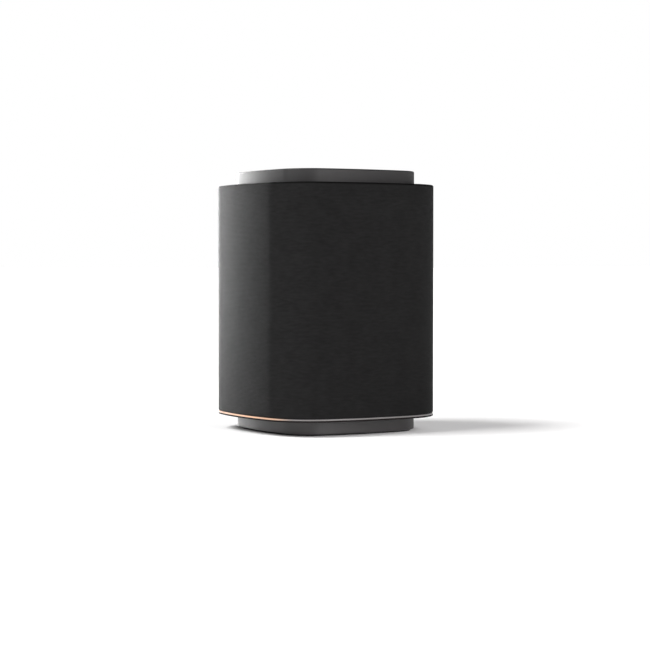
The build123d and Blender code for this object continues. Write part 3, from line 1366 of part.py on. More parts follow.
with BuildPart() as switch_housings:
    with BuildSketch(Plane.XY.offset(CONTROL_BOARD_TOP)):
        with Locations(*KEY_PLACES):
            Rectangle(SWITCH_SIZE, SWITCH_SIZE)
    extrude(amount=SWITCH_TOP - CONTROL_BOARD_TOP)
    with BuildSketch(Plane.XY.offset(SWITCH_TOP)):
        with Locations(*KEY_PLACES):
            Circle(SWITCH_BORE)
    extrude(amount=CONTROL_BOARD_TOP + SWITCH_FLOOR - SWITCH_TOP, mode=Mode.SUBTRACT)

switch_housings.part.label = "switch_housings"
export_step(switch_housings.part, "parts/switch_housings.step")


with BuildPart() as microphones:
    with BuildSketch(Plane.XY.offset(CONTROL_BOARD_BOTTOM)):
        with GridLocations(2 * MIC_PLACE, 2 * MIC_PLACE, 2, 2):
            Rectangle(MIC_WIDTH, MIC_DEPTH)
    extrude(amount=-MIC_THICKNESS)

microphones.part.label = "microphones"
export_step(microphones.part, "parts/microphones.step")


with BuildPart() as mic_gaskets:
    with BuildSketch(Plane.XY.offset(CONTROL_BOARD_TOP)):
        with GridLocations(2 * MIC_PLACE, 2 * MIC_PLACE, 2, 2):
            Circle(MIC_GASKET_RADIUS)
            Circle(MIC_HOLE_RADIUS, mode=Mode.SUBTRACT)
    extrude(amount=CAP_PLATE_BOTTOM - CONTROL_BOARD_TOP)

mic_gaskets.part.label = "mic_gaskets"
export_step(mic_gaskets.part, "parts/mic_gaskets.step")


with BuildPart() as mute_indicator:
    with BuildSketch(Plane.XY.offset(CONTROL_BOARD_TOP)):
        with Locations((0, INDICATOR_PLACE)):
            Circle(INDICATOR_RADIUS)
    extrude(amount=HEIGHT - DISH_DEPTH - CONTROL_BOARD_TOP)

mute_indicator.part.label = "mute_indicator"
export_step(mute_indicator.part, "parts/mute_indicator.step")


# ================================================================== keys and their plungers
KEY_STEM_RADIUS = 2.0
KEY_EDGE = 0.4

for key_name, key_place, key_icon in KEYS:
    with BuildPart() as key:
        with BuildSketch(Plane.XY.offset(KEY_FLANGE_BOTTOM)):
            with Locations(key_place):
                Circle(KEY_FLANGE_RADIUS)
        extrude(amount=KEY_FLANGE_TOP - KEY_FLANGE_BOTTOM)
        with BuildSketch(Plane.XY.offset(KEY_FLANGE_TOP)):
            with Locations(key_place):
                Circle(KEY_RADIUS)
        extrude(amount=KEY_TOP - KEY_FLANGE_TOP)
        fillet(key.edges().sort_by(Axis.Z)[-1], KEY_EDGE)
        with BuildSketch(Plane.XY.offset(PLUNGER_TOP)):
            with Locations(key_place):
                Circle(KEY_STEM_RADIUS)
        extrude(amount=KEY_FLANGE_BOTTOM - PLUNGER_TOP)
        with BuildSketch(Plane.XY.offset(KEY_TOP)):
            with Locations(key_place):
                add(key_icon())
        extrude(amount=-ICON_DEPTH, mode=Mode.SUBTRACT)
    key.part.label = f"{key_name}_button"
    export_step(key.part, f"parts/{key_name}_button.step")

    with BuildPart() as plunger:
        with BuildSketch(Plane.XY.offset(PLUNGER_BOTTOM)):
            with Locations(key_place):
                Circle(PLUNGER_RADIUS)
        extrude(amount=PLUNGER_TOP - PLUNGER_BOTTOM)
    plunger.part.label = f"{key_name}_plunger"
    export_step(plunger.part, f"parts/{key_name}_plunger.step")
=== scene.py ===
"""Looks of the smart speaker: a knit sleeve, satin mouldings, a light line and a soft studio.

Metres throughout. The front of the speaker looks along -Y and its rear, with the power inlet
and the seam of the sleeve, along +Y. Azimuths turn from the front towards the right (+X).
"""

from math import atan2, cos, pi, radians, sin, sqrt

import bpy
import numpy as np
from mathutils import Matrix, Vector


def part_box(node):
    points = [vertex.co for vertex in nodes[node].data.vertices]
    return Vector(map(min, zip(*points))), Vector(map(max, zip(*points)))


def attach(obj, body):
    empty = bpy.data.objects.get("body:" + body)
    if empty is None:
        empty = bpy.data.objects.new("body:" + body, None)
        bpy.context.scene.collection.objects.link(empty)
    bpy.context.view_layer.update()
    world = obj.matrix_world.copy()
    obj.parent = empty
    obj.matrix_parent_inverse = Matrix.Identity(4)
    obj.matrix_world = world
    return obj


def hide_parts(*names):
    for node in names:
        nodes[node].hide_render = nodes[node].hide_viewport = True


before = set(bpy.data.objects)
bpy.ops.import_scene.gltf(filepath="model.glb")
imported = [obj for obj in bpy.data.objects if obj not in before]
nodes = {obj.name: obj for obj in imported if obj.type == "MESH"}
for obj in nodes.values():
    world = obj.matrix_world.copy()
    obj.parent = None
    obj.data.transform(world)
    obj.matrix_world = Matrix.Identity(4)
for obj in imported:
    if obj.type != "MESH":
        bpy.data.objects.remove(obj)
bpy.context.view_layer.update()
body_low, body_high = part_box("fabric_sleeve")
CAP_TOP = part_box("top_cap")[1].z
KEY_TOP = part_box("action_button")[1].z

# ------------------------------------------------------------------ sizes of the footprint
HALF_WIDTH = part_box("bottom_tray")[1].x
SIDE_RADIUS = 0.195
CORNER_RADIUS = 0.033
SIDE_BACK = SIDE_RADIUS - HALF_WIDTH
ARC_GAP = SIDE_RADIUS - CORNER_RADIUS
CORNER_CENTRE = (sqrt(2 * ARC_GAP**2 - SIDE_BACK**2) - SIDE_BACK) / 2
SIDE_ANGLE = atan2(CORNER_CENTRE, CORNER_CENTRE + SIDE_BACK)
QUARTER = pi / 2
PERIMETER = 4 * (2 * SIDE_ANGLE * SIDE_RADIUS + (QUARTER - 2 * SIDE_ANGLE) * CORNER_RADIUS)

# ------------------------------------------------------------------ sizes of the sleeve
CLOTH = 0.00115                # thickness, a little less than the room the shell leaves
SHOULDER = 0.001               # roll over the top edge
TOP_REACH = 0.0136             # how far the cloth runs in under the cap
GRID = 0.0009                  # spacing of the points on the outside
COARSE_GRID = 0.006            # and on the inside, which never shows
HEM_STEPS = 9
SHOULDER_STEPS = 8
SEAM_DEPTH = 0.00028
SEAM_WIDTH = 0.0006
SEAM_STEPS = 9
STITCH_PITCH = 0.0028
STITCH_LENGTH = 0.0020
STITCH_RADIUS = 0.00017
STITCH_BREADTH = 1.6           # breadth of a stitch over its thickness
STITCH_TIP = 0.15              # thickness of its ends over that of its middle
STITCH_ROW = 0.0017            # each row's distance from the seam
STITCH_SIDES = 8
STITCH_RINGS = 5

# ------------------------------------------------------------------ surface of the knit
WALE = 0.00095                 # width of one column of knit loops
COURSE = 0.00075               # height of one row of loops
KNIT_DEPTH = 0.00005
SLUB_DEPTH = 0.00009           # depth of the uneven yarn
SLUB_SHARE = 0.6               # part of the mottling that follows the yarn, the rest is clouds
KNIT_SWING = 0.22
LOOP_LIFT = 1.4                # keeps the gaps between rows above the gaps between columns

# ------------------------------------------------------------------ top rims with painted shade, keys and cloth threads
SLEEVE_RIM_SHADE = 0.0013            # height of the band of painted shade on the sleeve's rolled top edge
CAP_RIM_SHADE = 0.0008               # height of the band of painted shade on the cap's rounded top edge
RIM_SHADE_BLEND = 0.6                # the painted shade is full from this share of the band upwards
# strength of the painted shade on the rims
RIM_SHADE_AMOUNT = 0.85
LEVEL_FACE = 0.985             # a normal that points up more than this is on a flat top
KEY_MARK_DEPTH = 0.0002        # depth of the symbols in the keys
KEY_MARK_FLOOR = 1.25          # a symbol's floor lies between these shares of its depth
KEY_MARK_EDGE = 0.4
KEY_LEVEL_FACE = 0.999
WAVE_PER_PITCH = 0.16          # scale of a wave texture whose bands lie one metre apart

# ------------------------------------------------------------------ the light line
LIT_HALF_WIDTH = 0.036         # fully lit this far each side of the front's middle
LIT_FADE = 0.012
LIT_COLOUR = (1.0, 0.46, 0.18)
LIT_STRENGTH = 0.68
LIT_DROOP = 0.5                # share of the light that is lost by the ends

# ------------------------------------------------------------------ camera
CAMERA_AZIMUTH = 59.55
CAMERA_DISTANCE = 1.1916
CAMERA_HEIGHT = 0.1034
AIM_HEIGHT = 0.0650
LENS_MM = 105.3
SENSOR_MM = 36.0

# ------------------------------------------------------------------ studio
BACKDROP = 1.0                 # brightness of the backdrop that the camera sees
ROOM = 0.14                    # brightness of the room that lights the speaker
KEY = 4.2
WASH = 2.1
SIDE_WATTS = 37.0
FILL_WATTS = 12.0
FILL_COLOUR = (1.0, 0.97, 0.975)
FLOOR_HALF_SIZE = 40.0


# ================================================================== footprint and lofts
def footprint(run):
    """Centre of curvature, radius and outward direction at distances round from the rear."""
    turns = np.repeat(np.arange(5) * QUARTER, 2)[1:-1]
    knots = turns + SIDE_ANGLE * np.array([1, -1] * 4)
    knots = np.concatenate([[0], knots, [4 * QUARTER]])
    bends = np.array([SIDE_RADIUS, CORNER_RADIUS] * 4 + [SIDE_RADIUS])
    lengths = np.concatenate([[0], np.cumsum(np.diff(knots) * bends)])
    angle = np.interp(run, lengths, knots) + QUARTER
    turn = np.round(angle / QUARTER) * QUARTER
    on_side = np.abs(angle - turn) <= SIDE_ANGLE
    out = np.stack([np.cos(angle), np.sin(angle)], axis=1)
    side_centre = -SIDE_BACK * np.stack([np.cos(turn), np.sin(turn)], axis=1)
    centre = np.where(on_side[:, None], side_centre, CORNER_CENTRE * np.sign(out))
    return centre, np.where(on_side, SIDE_RADIUS, CORNER_RADIUS), out


def new_piece(name, points, faces, smooth=True):
    """A mesh object from points and faces."""
    mesh = bpy.data.meshes.new(name)
    mesh.from_pydata(points, [], faces)
    mesh.validate()
    if smooth:
        mesh.shade_smooth()
    else:
        mesh.shade_flat()
    piece = bpy.data.objects.new(name, mesh)
    bpy.context.scene.collection.objects.link(piece)
    return piece


def loft(name, run, insets, heights):
    """A closed profile carried round the footprint; insets has a row for each run distance."""
    centre, radius, out = footprint(run)
    reach = radius[:, None] - insets
    x = centre[:, 0, None] + reach * out[:, 0, None]
    y = centre[:, 1, None] + reach * out[:, 1, None]
    z = np.broadcast_to(heights, x.shape)
    points = np.stack([x, y, z], axis=2).reshape(-1, 3)
    around, along = insets.shape
    i, j = np.meshgrid(np.arange(around), np.arange(along), indexing="ij")
    next_i, next_j = (i + 1) % around, (j + 1) % along
    faces = np.stack(
        [i * along + j, next_i * along + j, next_i * along + next_j, i * along + next_j],
        axis=2,
    ).reshape(-1, 4)
    return new_piece(name, points.tolist(), faces.tolist())


def arc(middle, radius, start, end, steps):
    """Points (inset, height) on an arc, angles in degrees from straight inwards."""
    turn = np.radians(np.linspace(start, end, steps))
    return np.stack([middle[0] + radius * np.cos(turn), middle[1] + radius * np.sin(turn)], axis=1)


def straight(start, end, spacing):
    """Points (inset, height) evenly along a line, without its two ends."""
    start, end = np.array(start), np.array(end)
    steps = max(2, int(np.ceil(np.linalg.norm(end - start) / spacing)))
    share = np.linspace(0, 1, steps + 1)[1:-1, None]
    return start + share * (end - start)


# ================================================================== sleeve
def sleeve_profile():
    """Section of the sleeve, from the hem up its outside, in over the top and back inside."""
    bottom, top = body_low.z, body_high.z
    hem = CLOTH / 2
    inside_top = top - CLOTH
    hem_roll = arc((hem, bottom + hem), hem, 0, -180, HEM_STEPS)
    outside = straight((0, bottom + hem), (0, top - SHOULDER), GRID)
    shoulder = arc((SHOULDER, top - SHOULDER), SHOULDER, 180, 90, SHOULDER_STEPS)
    over_top = straight((SHOULDER, top), (TOP_REACH, top), 2 * GRID)
    inner_edge = np.array([(TOP_REACH, top), (TOP_REACH, inside_top)])
    underside = straight((TOP_REACH, inside_top), (CLOTH, inside_top), COARSE_GRID)
    corner = np.array([(CLOTH, inside_top)])
    inside = straight((CLOTH, inside_top), (CLOTH, bottom + hem), COARSE_GRID)
    outer_parts = [hem_roll, outside, shoulder, over_top]
    parts = outer_parts + [inner_edge, underside, corner, inside]
    shown = sum(len(part) for part in outer_parts)
    return np.concatenate(parts), shown


def run_distances():
    """Distances round the sleeve, closer together beside the seam at the rear."""
    beside = np.linspace(0, 3 * SEAM_WIDTH, SEAM_STEPS)
    middle = np.arange(beside[-1] + GRID, PERIMETER - beside[-1] - GRID / 2, GRID)
    return np.concatenate([beside, middle, PERIMETER - beside[:0:-1]])


def make_sleeve():
    """The knit sleeve, with the groove of its seam and its cloth coordinates."""
    profile, shown = sleeve_profile()
    run = run_distances()
    from_seam = np.minimum(run, PERIMETER - run)
    groove = SEAM_DEPTH * np.exp(-((from_seam / SEAM_WIDTH) ** 2))
    insets = np.tile(profile[:, 0], (len(run), 1))
    outer = profile[:, 0] < SHOULDER
    outer[shown:] = False
    insets[:, outer] += groove[:, None]
    sleeve = loft("knit_sleeve", run, insets, profile[:, 1])
    steps = np.linalg.norm(np.diff(profile, axis=0), axis=1)
    up = np.concatenate([[0], np.cumsum(steps)])
    give_cloth_coordinates(sleeve.data, run, up)
    return sleeve


def give_cloth_coordinates(mesh, run, up):
    """Stores distance round and distance up at every face corner, for the knit."""
    along = len(up)
    corner_point = np.zeros(len(mesh.loops), np.int32)
    mesh.loops.foreach_get("vertex_index", corner_point)
    i, j = corner_point // along, corner_point % along
    first = (np.arange(len(corner_point)) // 4) * 4
    last_column = i[first] == len(run) - 1
    around = run[i]
    around = np.where(last_column & (i == 0), PERIMETER, around)
    store = np.stack([around, up[j], np.zeros(len(i))], axis=1)
    attribute = mesh.attributes.new("cloth", "FLOAT_VECTOR", "CORNER")
    attribute.data.foreach_set("vector", store.astype(np.float32).ravel())


def stitch_points(surface, side, out, height):
    """Rings of points along one stitch, which tapers towards both ends."""
    points = []
    for ring in range(STITCH_RINGS + 1):
        turn = pi * ring / STITCH_RINGS
        thick = STITCH_RADIUS * max(sin(turn), STITCH_TIP)
        z = height - STITCH_LENGTH / 2 * cos(turn)
        for segment in range(STITCH_SIDES):
            round_turn = 2 * pi * segment / STITCH_SIDES
            spot = surface + side * thick * cos(round_turn) * STITCH_BREADTH
            spot = spot + out * thick * sin(round_turn)
            points.append((spot[0], spot[1], z))
    return points


def stitch_faces(start):
    """Faces of one stitch whose first point has that number."""
    faces = []
    for ring in range(STITCH_RINGS):
        for segment in range(STITCH_SIDES):
            a = start + ring * STITCH_SIDES + segment
            b = start + ring * STITCH_SIDES + (segment + 1) % STITCH_SIDES
            faces.append((a, b, b + STITCH_SIDES, a + STITCH_SIDES))
    last = start + STITCH_RINGS * STITCH_SIDES
    faces.append(tuple(range(start, start + STITCH_SIDES))[::-1])
    faces.append(tuple(range(last, last + STITCH_SIDES)))
    return faces


def make_stitches():
    """Two rows of raised stitches, one each side of the seam."""
    bottom, top = body_low.z + STITCH_PITCH, body_high.z - 2 * SHOULDER
    heights = np.arange(bottom, top, STITCH_PITCH)
    points, faces = [], []
    for row in (STITCH_ROW, PERIMETER - STITCH_ROW):
        centre, radius, out = footprint(np.array([row]))
        out = out[0]
        surface = centre[0] + radius[0] * out
        side = np.array([-out[1], out[0]])
        for height in heights:
            faces += stitch_faces(len(points))
            points += stitch_points(surface, side, out, height)
    return new_piece("seam_stitches", points, faces)


# ================================================================== materials
class Look:
    """A node-based material: a principled shader and the textures that vary it."""

    def __init__(self, name, colour, roughness, fixed=None):
        self.name = name
        self.material = bpy.data.materials.new(f"{name}_look")
        self.material.use_nodes = True
        self.tree = self.material.node_tree
        self.shader = self.tree.nodes["Principled BSDF"]
        self.colour = colour
        self.roughness = roughness
        self.shader.inputs["Base Color"].default_value = (*colour, 1)
        self.shader.inputs["Roughness"].default_value = roughness
        for socket, value in (fixed or {}).items():
            self.shader.inputs[socket].default_value = value

    def node(self, kind, settings=None, inputs=None):
        """Adds a node, sets its options, and links or sets its inputs."""
        made = self.tree.nodes.new(kind)
        for key, value in (settings or {}).items():
            setattr(made, key, value)
        for key, value in (inputs or {}).items():
            if isinstance(value, bpy.types.NodeSocket):
                self.tree.links.new(value, made.inputs[key])
            else:
                made.inputs[key].default_value = value
        return made

    def math(self, operation, a, b=0.0):
        """One step of arithmetic."""
        return self.node("ShaderNodeMath", {"operation": operation}, {0: a, 1: b}).outputs[0]

    def product(self, first, *others):
        """Several factors multiplied together."""
        for other in others:
            first = self.math("MULTIPLY", first, other)
        return first

    def split(self, vector):
        """The three components of a vector."""
        return self.node("ShaderNodeSeparateXYZ", inputs={0: vector}).outputs

    def position(self):
        """Position on the object."""
        return self.node("ShaderNodeTexCoord").outputs["Object"]

    def upward(self):
        """How far the surface faces up: 1 on a level top, 0 on a wall."""
        return self.split(self.node("ShaderNodeNewGeometry").outputs["True Normal"])[2]

    def stretched(self, vector, scale):
        """The same coordinates, stretched along their axes."""
        inputs = {"Vector": vector, "Scale": scale}
        return self.node("ShaderNodeMapping", inputs=inputs).outputs[0]

    def place(self, stretch=(1, 1, 1)):
        """Position on the object, stretched along its axes."""
        return self.stretched(self.position(), stretch)

    def noise(self, size, detail=2.0, stretch=(1, 1, 1), place=None):
        """Noise whose features are about size metres across."""
        vector = place or self.place(stretch)
        inputs = {"Vector": vector, "Scale": 1 / size, "Detail": detail}
        return self.node("ShaderNodeTexNoise", inputs=inputs).outputs[0]

    def bands(self, direction, scale, place):
        """Parallel bands across one axis."""
        settings = {"wave_type": "BANDS", "bands_direction": direction}
        inputs = {"Vector": place, "Scale": scale}
        return self.node("ShaderNodeTexWave", settings, inputs).outputs["Fac"]

    def spread(self, factor, low, high, start=0.3, end=0.7):
        """Carries a texture's range over to low and high."""
        inputs = {0: factor, 1: start, 2: end, 3: low, 4: high}
        return self.node("ShaderNodeMapRange", inputs=inputs).outputs[0]

    def tint(self, factor, other, amount=1.0):
        """Mixes another colour into the base colour by a texture."""
        share = self.math("MULTIPLY", factor, amount)
        settings = {"data_type": "RGBA"}
        mix = self.node("ShaderNodeMix", settings, {0: share, 7: (*other, 1)})
        base = self.shader.inputs["Base Color"]
        if base.is_linked:
            self.tree.links.new(base.links[0].from_socket, mix.inputs[6])
        else:
            mix.inputs[6].default_value = (*self.colour, 1)
        self.tree.links.new(mix.outputs[2], base)

    def shade(self, factor, swing):
        """Lightens and darkens the base colour by a texture."""
        darker = [channel * (1 - swing) for channel in self.colour]
        lighter = [min(1, channel * (1 + swing)) for channel in self.colour]
        mix = self.node(
            "ShaderNodeMix",
            {"data_type": "RGBA"},
            {0: self.spread(factor, 0, 1), 6: (*darker, 1), 7: (*lighter, 1)},
        )
        self.tree.links.new(mix.outputs[2], self.shader.inputs["Base Color"])

    def polish(self, factor, swing):
        """Varies the roughness by a texture."""
        low, high = self.roughness - swing, self.roughness + swing
        self.tree.links.new(self.spread(factor, low, high), self.shader.inputs["Roughness"])

    def relief(self, height, depth):
        """Adds a bump of that depth in metres on top of any earlier one."""
        normal = self.shader.inputs["Normal"]
        inputs = {"Strength": 1.0, "Distance": depth, "Height": height}
        if normal.is_linked:
            inputs["Normal"] = normal.links[0].from_socket
        bump = self.node("ShaderNodeBump", inputs=inputs)
        self.tree.links.new(bump.outputs[0], normal)

    def paint_rim_shade(self, top, drop, colour):
        """Paints shade into the base colour of the rounded rim just below a top edge, and leaves
        the flat faces alone.
        """
        height = self.split(self.position())[2]
        near_top = self.spread(height, 0, 1, top - drop, top - RIM_SHADE_BLEND * drop)
        rounded = self.math("LESS_THAN", self.upward(), LEVEL_FACE)
        self.tint(self.product(near_top, rounded), colour, RIM_SHADE_AMOUNT)


def moulded(name, colour, roughness, grain=0.00035, depth=0.000012, fixed=None):
    """Moulded plastic or rubber with a spark-eroded texture."""
    look = Look(name, colour, roughness, fixed)
    look.shade(look.noise(size=0.012, detail=3), swing=0.06)
    look.polish(look.noise(size=0.006, detail=4), swing=0.05)
    look.relief(look.noise(grain), depth)
    return look


def metal(name, colour, roughness, stretch=(1, 1, 12), depth=0.000006):
    """Plated, turned or extruded metal with fine lines along one direction."""
    look = Look(name, colour, roughness, {"Metallic": 1.0})
    look.shade(look.noise(size=0.004, detail=3), swing=0.07)
    look.polish(look.noise(size=0.0012, detail=3, stretch=stretch), swing=0.08)
    look.relief(look.noise(size=0.0006, stretch=stretch), depth)
    return look


def pressed(name, colour, roughness, speck=0.0008, depth=0.00003):
    """Sintered, foamed or felted matter with open specks."""
    look = Look(name, colour, roughness, {"Specular IOR Level": 0.25})
    cells = look.node("ShaderNodeTexVoronoi", inputs={"Vector": look.place(), "Scale": 1 / speck})
    look.shade(look.noise(size=0.003, detail=5), swing=0.18)
    look.relief(cells.outputs["Distance"], depth)
    return look


def woven(name, colour, roughness, pitch=0.0006, depth=0.00008):
    """Cloth parts of the loudspeakers: two sets of threads that cross."""
    look = Look(name, colour, roughness, {"Sheen Weight": 0.2})
    place = look.place()
    for direction in ("X", "Z"):
        look.relief(look.bands(direction, WAVE_PER_PITCH / pitch, place), depth)
    look.shade(look.noise(size=0.002, detail=4), swing=0.15)
    return look


def housing(name, colour):
    """The cap's satin plastic, with painted shade as a darker line round its rounded top edge."""
    look = moulded(name, colour, 0.52, fixed={"Specular IOR Level": 0.31})
    # painted shade: a darker line on the cap's rounded top edge
    look.paint_rim_shade(CAP_TOP, CAP_RIM_SHADE, (0.004, 0.004, 0.004))
    return look


def circuit_board(name, colour, track_scale=220.0, pad_scale=260.0):
    """Solder mask over copper tracks, with tinned pads."""
    look = Look(name, colour, 0.35, {"Coat Weight": 0.3})
    gap = {"Mortar Size": 0.03, "Mortar Smooth": 0.3}
    brick = look.node(
        "ShaderNodeTexBrick",
        {"offset": 0.5, "squash": 0.7},
        {"Vector": look.place(), "Scale": track_scale, **gap},
    )
    look.tint(brick.outputs["Fac"], [channel * 1.9 for channel in colour], amount=0.8)
    inputs = {"Vector": look.place(), "Scale": pad_scale}
    pads = look.node("ShaderNodeTexVoronoi", inputs=inputs)
    close = look.spread(pads.outputs["Distance"], 1, 0, start=0.10, end=0.14)
    look.tint(close, (0.75, 0.74, 0.70))
    look.relief(brick.outputs["Fac"], depth=0.00002)
    return look


def wound(name, colour, turn_scale=900.0):
    """Fine enamelled wire wound side by side."""
    look = Look(name, colour, 0.28, {"Metallic": 1.0})
    turns = look.bands("Y", turn_scale, look.place())
    look.shade(look.noise(size=0.002, detail=3), swing=0.12)
    look.relief(turns, depth=0.00004)
    return look


def striped_ribbon(name, colour, stripe_scale=320.0):
    """Film with conductors side by side."""
    look = Look(name, colour, 0.3)
    stripes = look.bands("X", stripe_scale, look.place())
    look.tint(stripes, (0.42, 0.26, 0.10), amount=0.7)
    look.relief(stripes, depth=0.00002)
    return look


def key_plastic(name, colour):
    """Key plastic with a pale fill in the sunk symbol, found by its height below the face."""
    look = moulded(name, colour, 0.42, grain=0.0003, depth=0.00001)
    height = look.split(look.position())[2]
    above = look.math("GREATER_THAN", height, KEY_TOP - KEY_MARK_FLOOR * KEY_MARK_DEPTH)
    below = look.math("LESS_THAN", height, KEY_TOP - KEY_MARK_EDGE * KEY_MARK_DEPTH)
    level = look.math("GREATER_THAN", look.upward(), KEY_LEVEL_FACE)
    look.tint(look.product(above, below, level), (0.55, 0.55, 0.56))
    return look


def light_line(name, colour):
    """Frosted guide that glows along the front and fades round the two front corners."""
    look = Look(name, colour, 0.38, {"Coat Weight": 0.2, "Coat Roughness": 0.2})
    axes = look.split(look.position())
    aside = look.math("ABSOLUTE", axes[0])
    end = LIT_HALF_WIDTH + LIT_FADE
    across = look.node(
        "ShaderNodeMapRange",
        {"interpolation_type": "SMOOTHSTEP"},
        {0: aside, 1: LIT_HALF_WIDTH, 2: end, 3: 1.0, 4: 0.0},
    ).outputs[0]
    front = look.math("LESS_THAN", axes[1], -HALF_WIDTH / 3)
    reach = look.math("MULTIPLY", aside, 1 / end)
    droop = look.product(reach, reach, LIT_DROOP)
    uneven = look.spread(look.noise(size=0.01), 0.92, 1.08)
    kept = look.math("SUBTRACT", 1.0, droop)
    strength = look.product(across, front, kept, uneven, LIT_STRENGTH)
    look.shader.inputs["Emission Color"].default_value = (*LIT_COLOUR, 1)
    look.tree.links.new(strength, look.shader.inputs["Emission Strength"])
    look.shade(look.noise(size=0.003, detail=3), swing=0.05)
    look.relief(look.noise(size=0.0004), depth=0.000008)
    return look


def knit(name, colour):
    """Fine black knit: columns of loops, uneven yarn and painted shade as a dark line on the rim
    at the top.
    """
    look = Look(name, colour, 0.58, {"Specular IOR Level": 0.03})
    cloth = look.node("ShaderNodeAttribute", {"attribute_name": "cloth"}).outputs["Vector"]
    axes = look.split(cloth)
    column = look.math("MULTIPLY", axes[0], 1 / WALE)
    row = look.math("MULTIPLY", axes[1], 1 / COURSE)
    lean = look.math("PINGPONG", column, 0.5)
    leg = look.math("SINE", look.math("MULTIPLY", lean, 2 * pi))
    loop = look.math("SINE", look.math("MULTIPLY", look.math("ADD", row, lean), 2 * pi))
    height = look.math("MULTIPLY", look.math("ADD", loop, LOOP_LIFT), leg)
    slub = look.noise(size=0.0022, detail=3, place=look.stretched(cloth, (0.45, 1.6, 1)))
    cloud = look.noise(size=0.011, detail=3, place=cloth)
    slub_part = look.math("MULTIPLY", slub, SLUB_SHARE)
    cloud_part = look.math("MULTIPLY", cloud, 1 - SLUB_SHARE)
    look.shade(look.math("ADD", slub_part, cloud_part), KNIT_SWING)
    look.relief(slub, SLUB_DEPTH)
    look.relief(height, KNIT_DEPTH)
    # painted shade: a dark line on the sleeve's rolled rim at the top
    look.paint_rim_shade(body_high.z, SLEEVE_RIM_SHADE, (0.002, 0.002, 0.002))
    return look


def make_looks():
    """Every material by its slot's name."""
    made = [
        moulded("foot_rubber", (0.020, 0.020, 0.021), 0.8, 0.0006, 0.00003),
        housing("housing_plastic", (0.035, 0.034, 0.0345)),
        moulded("plinth_plastic", (0.041, 0.0385, 0.039), 0.45),
        key_plastic("key_plastic", (0.040, 0.039, 0.041)),
        moulded("jack_plastic", (0.015, 0.015, 0.015), 0.3),
        moulded("lead_jacket", (0.02, 0.02, 0.02), 0.55),
        moulded("tray_plastic", (0.016, 0.014, 0.014), 0.7, fixed={"Specular IOR Level": 0.05}),
        moulded("connector_plastic", (0.72, 0.69, 0.60), 0.45),
        moulded("cabinet_plastic", (0.045, 0.045, 0.05), 0.6, 0.0008, 0.00003),
        moulded("surround_rubber", (0.018, 0.018, 0.02), 0.5),
        moulded("radiator_plate", (0.12, 0.12, 0.13), 0.35, fixed={"Metallic": 0.8}),
        moulded("shell_plastic", (0.015, 0.015, 0.015), 0.6),
        moulded("switch_plastic", (0.07, 0.07, 0.07), 0.5),
        moulded("indicator_lens", (0.25, 0.03, 0.02), 0.15, fixed={"Coat Weight": 0.5}),
        moulded("led_package", (0.85, 0.75, 0.40), 0.2, fixed={"Coat Weight": 0.8}),
        moulded("cone_paper", (0.06, 0.06, 0.065), 0.75, 0.0009, 0.00005),
        moulded("capacitor_can", (0.04, 0.04, 0.07), 0.35, fixed={"Coat Weight": 0.4}),
        moulded("basket_metal", (0.05, 0.05, 0.05), 0.5, 0.0005, 0.00003),
        metal("steel_screws", (0.16, 0.16, 0.17), 0.38),
        metal("pin_brass", (0.78, 0.60, 0.30), 0.25, (1, 14, 1)),
        metal("shield_metal", (0.66, 0.67, 0.68), 0.35, (14, 1, 1)),
        metal("spreader_metal", (0.70, 0.70, 0.71), 0.4, (14, 1, 1)),
        metal("motor_steel", (0.50, 0.50, 0.52), 0.32, (1, 1, 1)),
        metal("microphone_can", (0.75, 0.72, 0.60), 0.3, (10, 1, 1)),
        pressed("ferrite", (0.09, 0.09, 0.09), 0.75),
        pressed("magnet_ferrite", (0.06, 0.06, 0.065), 0.7),
        pressed("gasket_foam", (0.04, 0.04, 0.045), 0.95, 0.0007, 0.00012),
        pressed("wadding", (0.75, 0.74, 0.70), 1.0, 0.002, 0.0006),
        woven("spider_cloth", (0.50, 0.36, 0.16), 0.9),
        woven("dome_silk", (0.04, 0.04, 0.045), 0.7, 0.0003, 0.00003),
        circuit_board("circuit_board", (0.012, 0.06, 0.035)),
        wound("coil_copper", (0.72, 0.42, 0.24)),
        striped_ribbon("ribbon", (0.62, 0.47, 0.24)),
        light_line("light_guide", (0.21, 0.20, 0.197)),
        knit("knit_fabric", (0.0133, 0.0133, 0.0134)),
    ]
    return {look.name: look.material for look in made}


def paint_nodes(looks):
    """Gives every carried-over node the finish of its slot, and the plinth its own."""
    for node in nodes.values():
        for place in node.material_slots:
            place.material = looks[place.material.name.split(".")[0]]
    nodes["base_plinth"].material_slots[0].material = looks["plinth_plastic"]


# ================================================================== studio
def direction(azimuth, elevation):
    """Unit vector out from the speaker: azimuth from the front to the right, in degrees."""
    a, e = radians(azimuth), radians(elevation)
    return Vector((sin(a) * cos(e), -cos(a) * cos(e), sin(e)))


def hang_lamp(name, data, out):
    """Puts a light in the scene so that it shines against that direction."""
    lamp = bpy.data.objects.new(name, data)
    bpy.context.scene.collection.objects.link(lamp)
    lamp.rotation_mode = "QUATERNION"
    lamp.rotation_quaternion = (-out).to_track_quat("-Z", "Y")
    return lamp


def softbox(name, azimuth, elevation, distance, width, height, watts, colour=(1, 1, 1)):
    """A rectangular light that faces the speaker and is hidden from the camera."""
    data = bpy.data.lights.new(name, "AREA")
    data.shape = "RECTANGLE"
    data.size = width
    data.size_y = height
    data.energy = watts
    data.color = colour
    out = direction(azimuth, elevation)
    lamp = hang_lamp(name, data, out)
    lamp.location = Vector((0, 0, AIM_HEIGHT)) + out * distance
    lamp.visible_camera = False
    return lamp


def sunlight(name, azimuth, elevation, strength, spread):
    """An even light from one direction, spread over an angle in degrees."""
    data = bpy.data.lights.new(name, "SUN")
    data.energy = strength
    data.angle = radians(spread)
    return hang_lamp(name, data, direction(azimuth, elevation))


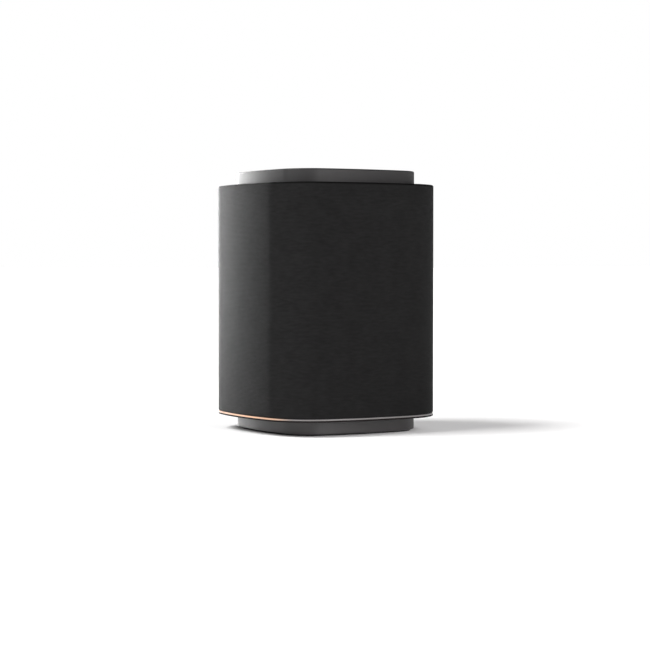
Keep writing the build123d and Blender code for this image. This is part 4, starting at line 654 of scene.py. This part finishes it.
def link_light(lamp, receiver, state):
    """Keeps a light off one object (EXCLUDE) or on that object alone (INCLUDE)."""
    group = bpy.data.collections.new(f"{lamp.name}_receivers")
    group.objects.link(receiver)
    group.collection_objects[0].light_linking.link_state = state
    lamp.light_linking.receiver_collection = group


def make_floor():
    """A plain pale floor, far larger than the view."""
    size = FLOOR_HALF_SIZE
    corners = [(-size, -size, 0), (size, -size, 0), (size, size, 0), (-size, size, 0)]
    floor = new_piece("studio_floor", corners, [(0, 1, 2, 3)], smooth=False)
    look = Look("floor_paint", (0.90, 0.896, 0.896), 0.9, {"Specular IOR Level": 0.1})
    look.shade(look.noise(size=0.5), swing=0.005)
    floor.data.materials.append(look.material)
    return floor


def make_world():
    """White backdrop for the camera and a dimmer room that lights the speaker."""
    world = bpy.data.worlds.new("studio")
    bpy.context.scene.world = world
    world.use_nodes = True
    tree = world.node_tree
    backdrop = tree.nodes["Background"]
    room = tree.nodes.new("ShaderNodeBackground")
    for background, strength in ((backdrop, BACKDROP), (room, ROOM)):
        background.inputs["Color"].default_value = (1, 1, 1, 1)
        background.inputs["Strength"].default_value = strength
    rays = tree.nodes.new("ShaderNodeLightPath")
    mix = tree.nodes.new("ShaderNodeMixShader")
    tree.links.new(rays.outputs["Is Camera Ray"], mix.inputs[0])
    tree.links.new(room.outputs[0], mix.inputs[1])
    tree.links.new(backdrop.outputs[0], mix.inputs[2])
    tree.links.new(mix.outputs[0], tree.nodes["World Output"].inputs["Surface"])


def make_camera():
    """The camera, level with the upper half of the speaker and off its right front corner."""
    data = bpy.data.cameras.new("camera")
    data.lens = LENS_MM
    data.sensor_width = SENSOR_MM
    camera = bpy.data.objects.new("camera", data)
    bpy.context.scene.collection.objects.link(camera)
    stand = Vector((0, 0, CAMERA_HEIGHT))
    camera.location = direction(CAMERA_AZIMUTH, 0) * CAMERA_DISTANCE + stand
    sight = Vector((0, 0, AIM_HEIGHT)) - camera.location
    camera.rotation_mode = "QUATERNION"
    camera.rotation_quaternion = sight.to_track_quat("-Z", "Y")
    bpy.context.scene.camera = camera
    bpy.context.scene.view_settings.view_transform = "Standard"


# ================================================================== scene
make_camera()
make_world()
floor = make_floor()
sunlight("key", azimuth=-18, elevation=50, strength=KEY, spread=40)
side_light = softbox(
    "side",
    azimuth=-90,
    elevation=7,
    distance=1.1,
    width=0.75,
    height=0.7,
    watts=SIDE_WATTS,
)
link_light(side_light, floor, "EXCLUDE")
wash = sunlight("wash", azimuth=130, elevation=30, strength=WASH, spread=50)
link_light(wash, floor, "INCLUDE")
softbox(
    "fill",
    azimuth=96,
    elevation=15,
    distance=1.6,
    width=0.5,
    height=0.8,
    watts=FILL_WATTS,
    colour=FILL_COLOUR,
)

looks = make_looks()
paint_nodes(looks)

sleeve = make_sleeve()
sleeve.data.materials.append(looks["knit_fabric"])
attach(sleeve, "speaker_body")
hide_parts("fabric_sleeve")

stitches = make_stitches()
stitch_look = moulded("stitch_thread", (0.03, 0.03, 0.031), 0.8, 0.0002, 0.00003)
stitches.data.materials.append(stitch_look.material)
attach(stitches, "speaker_body")
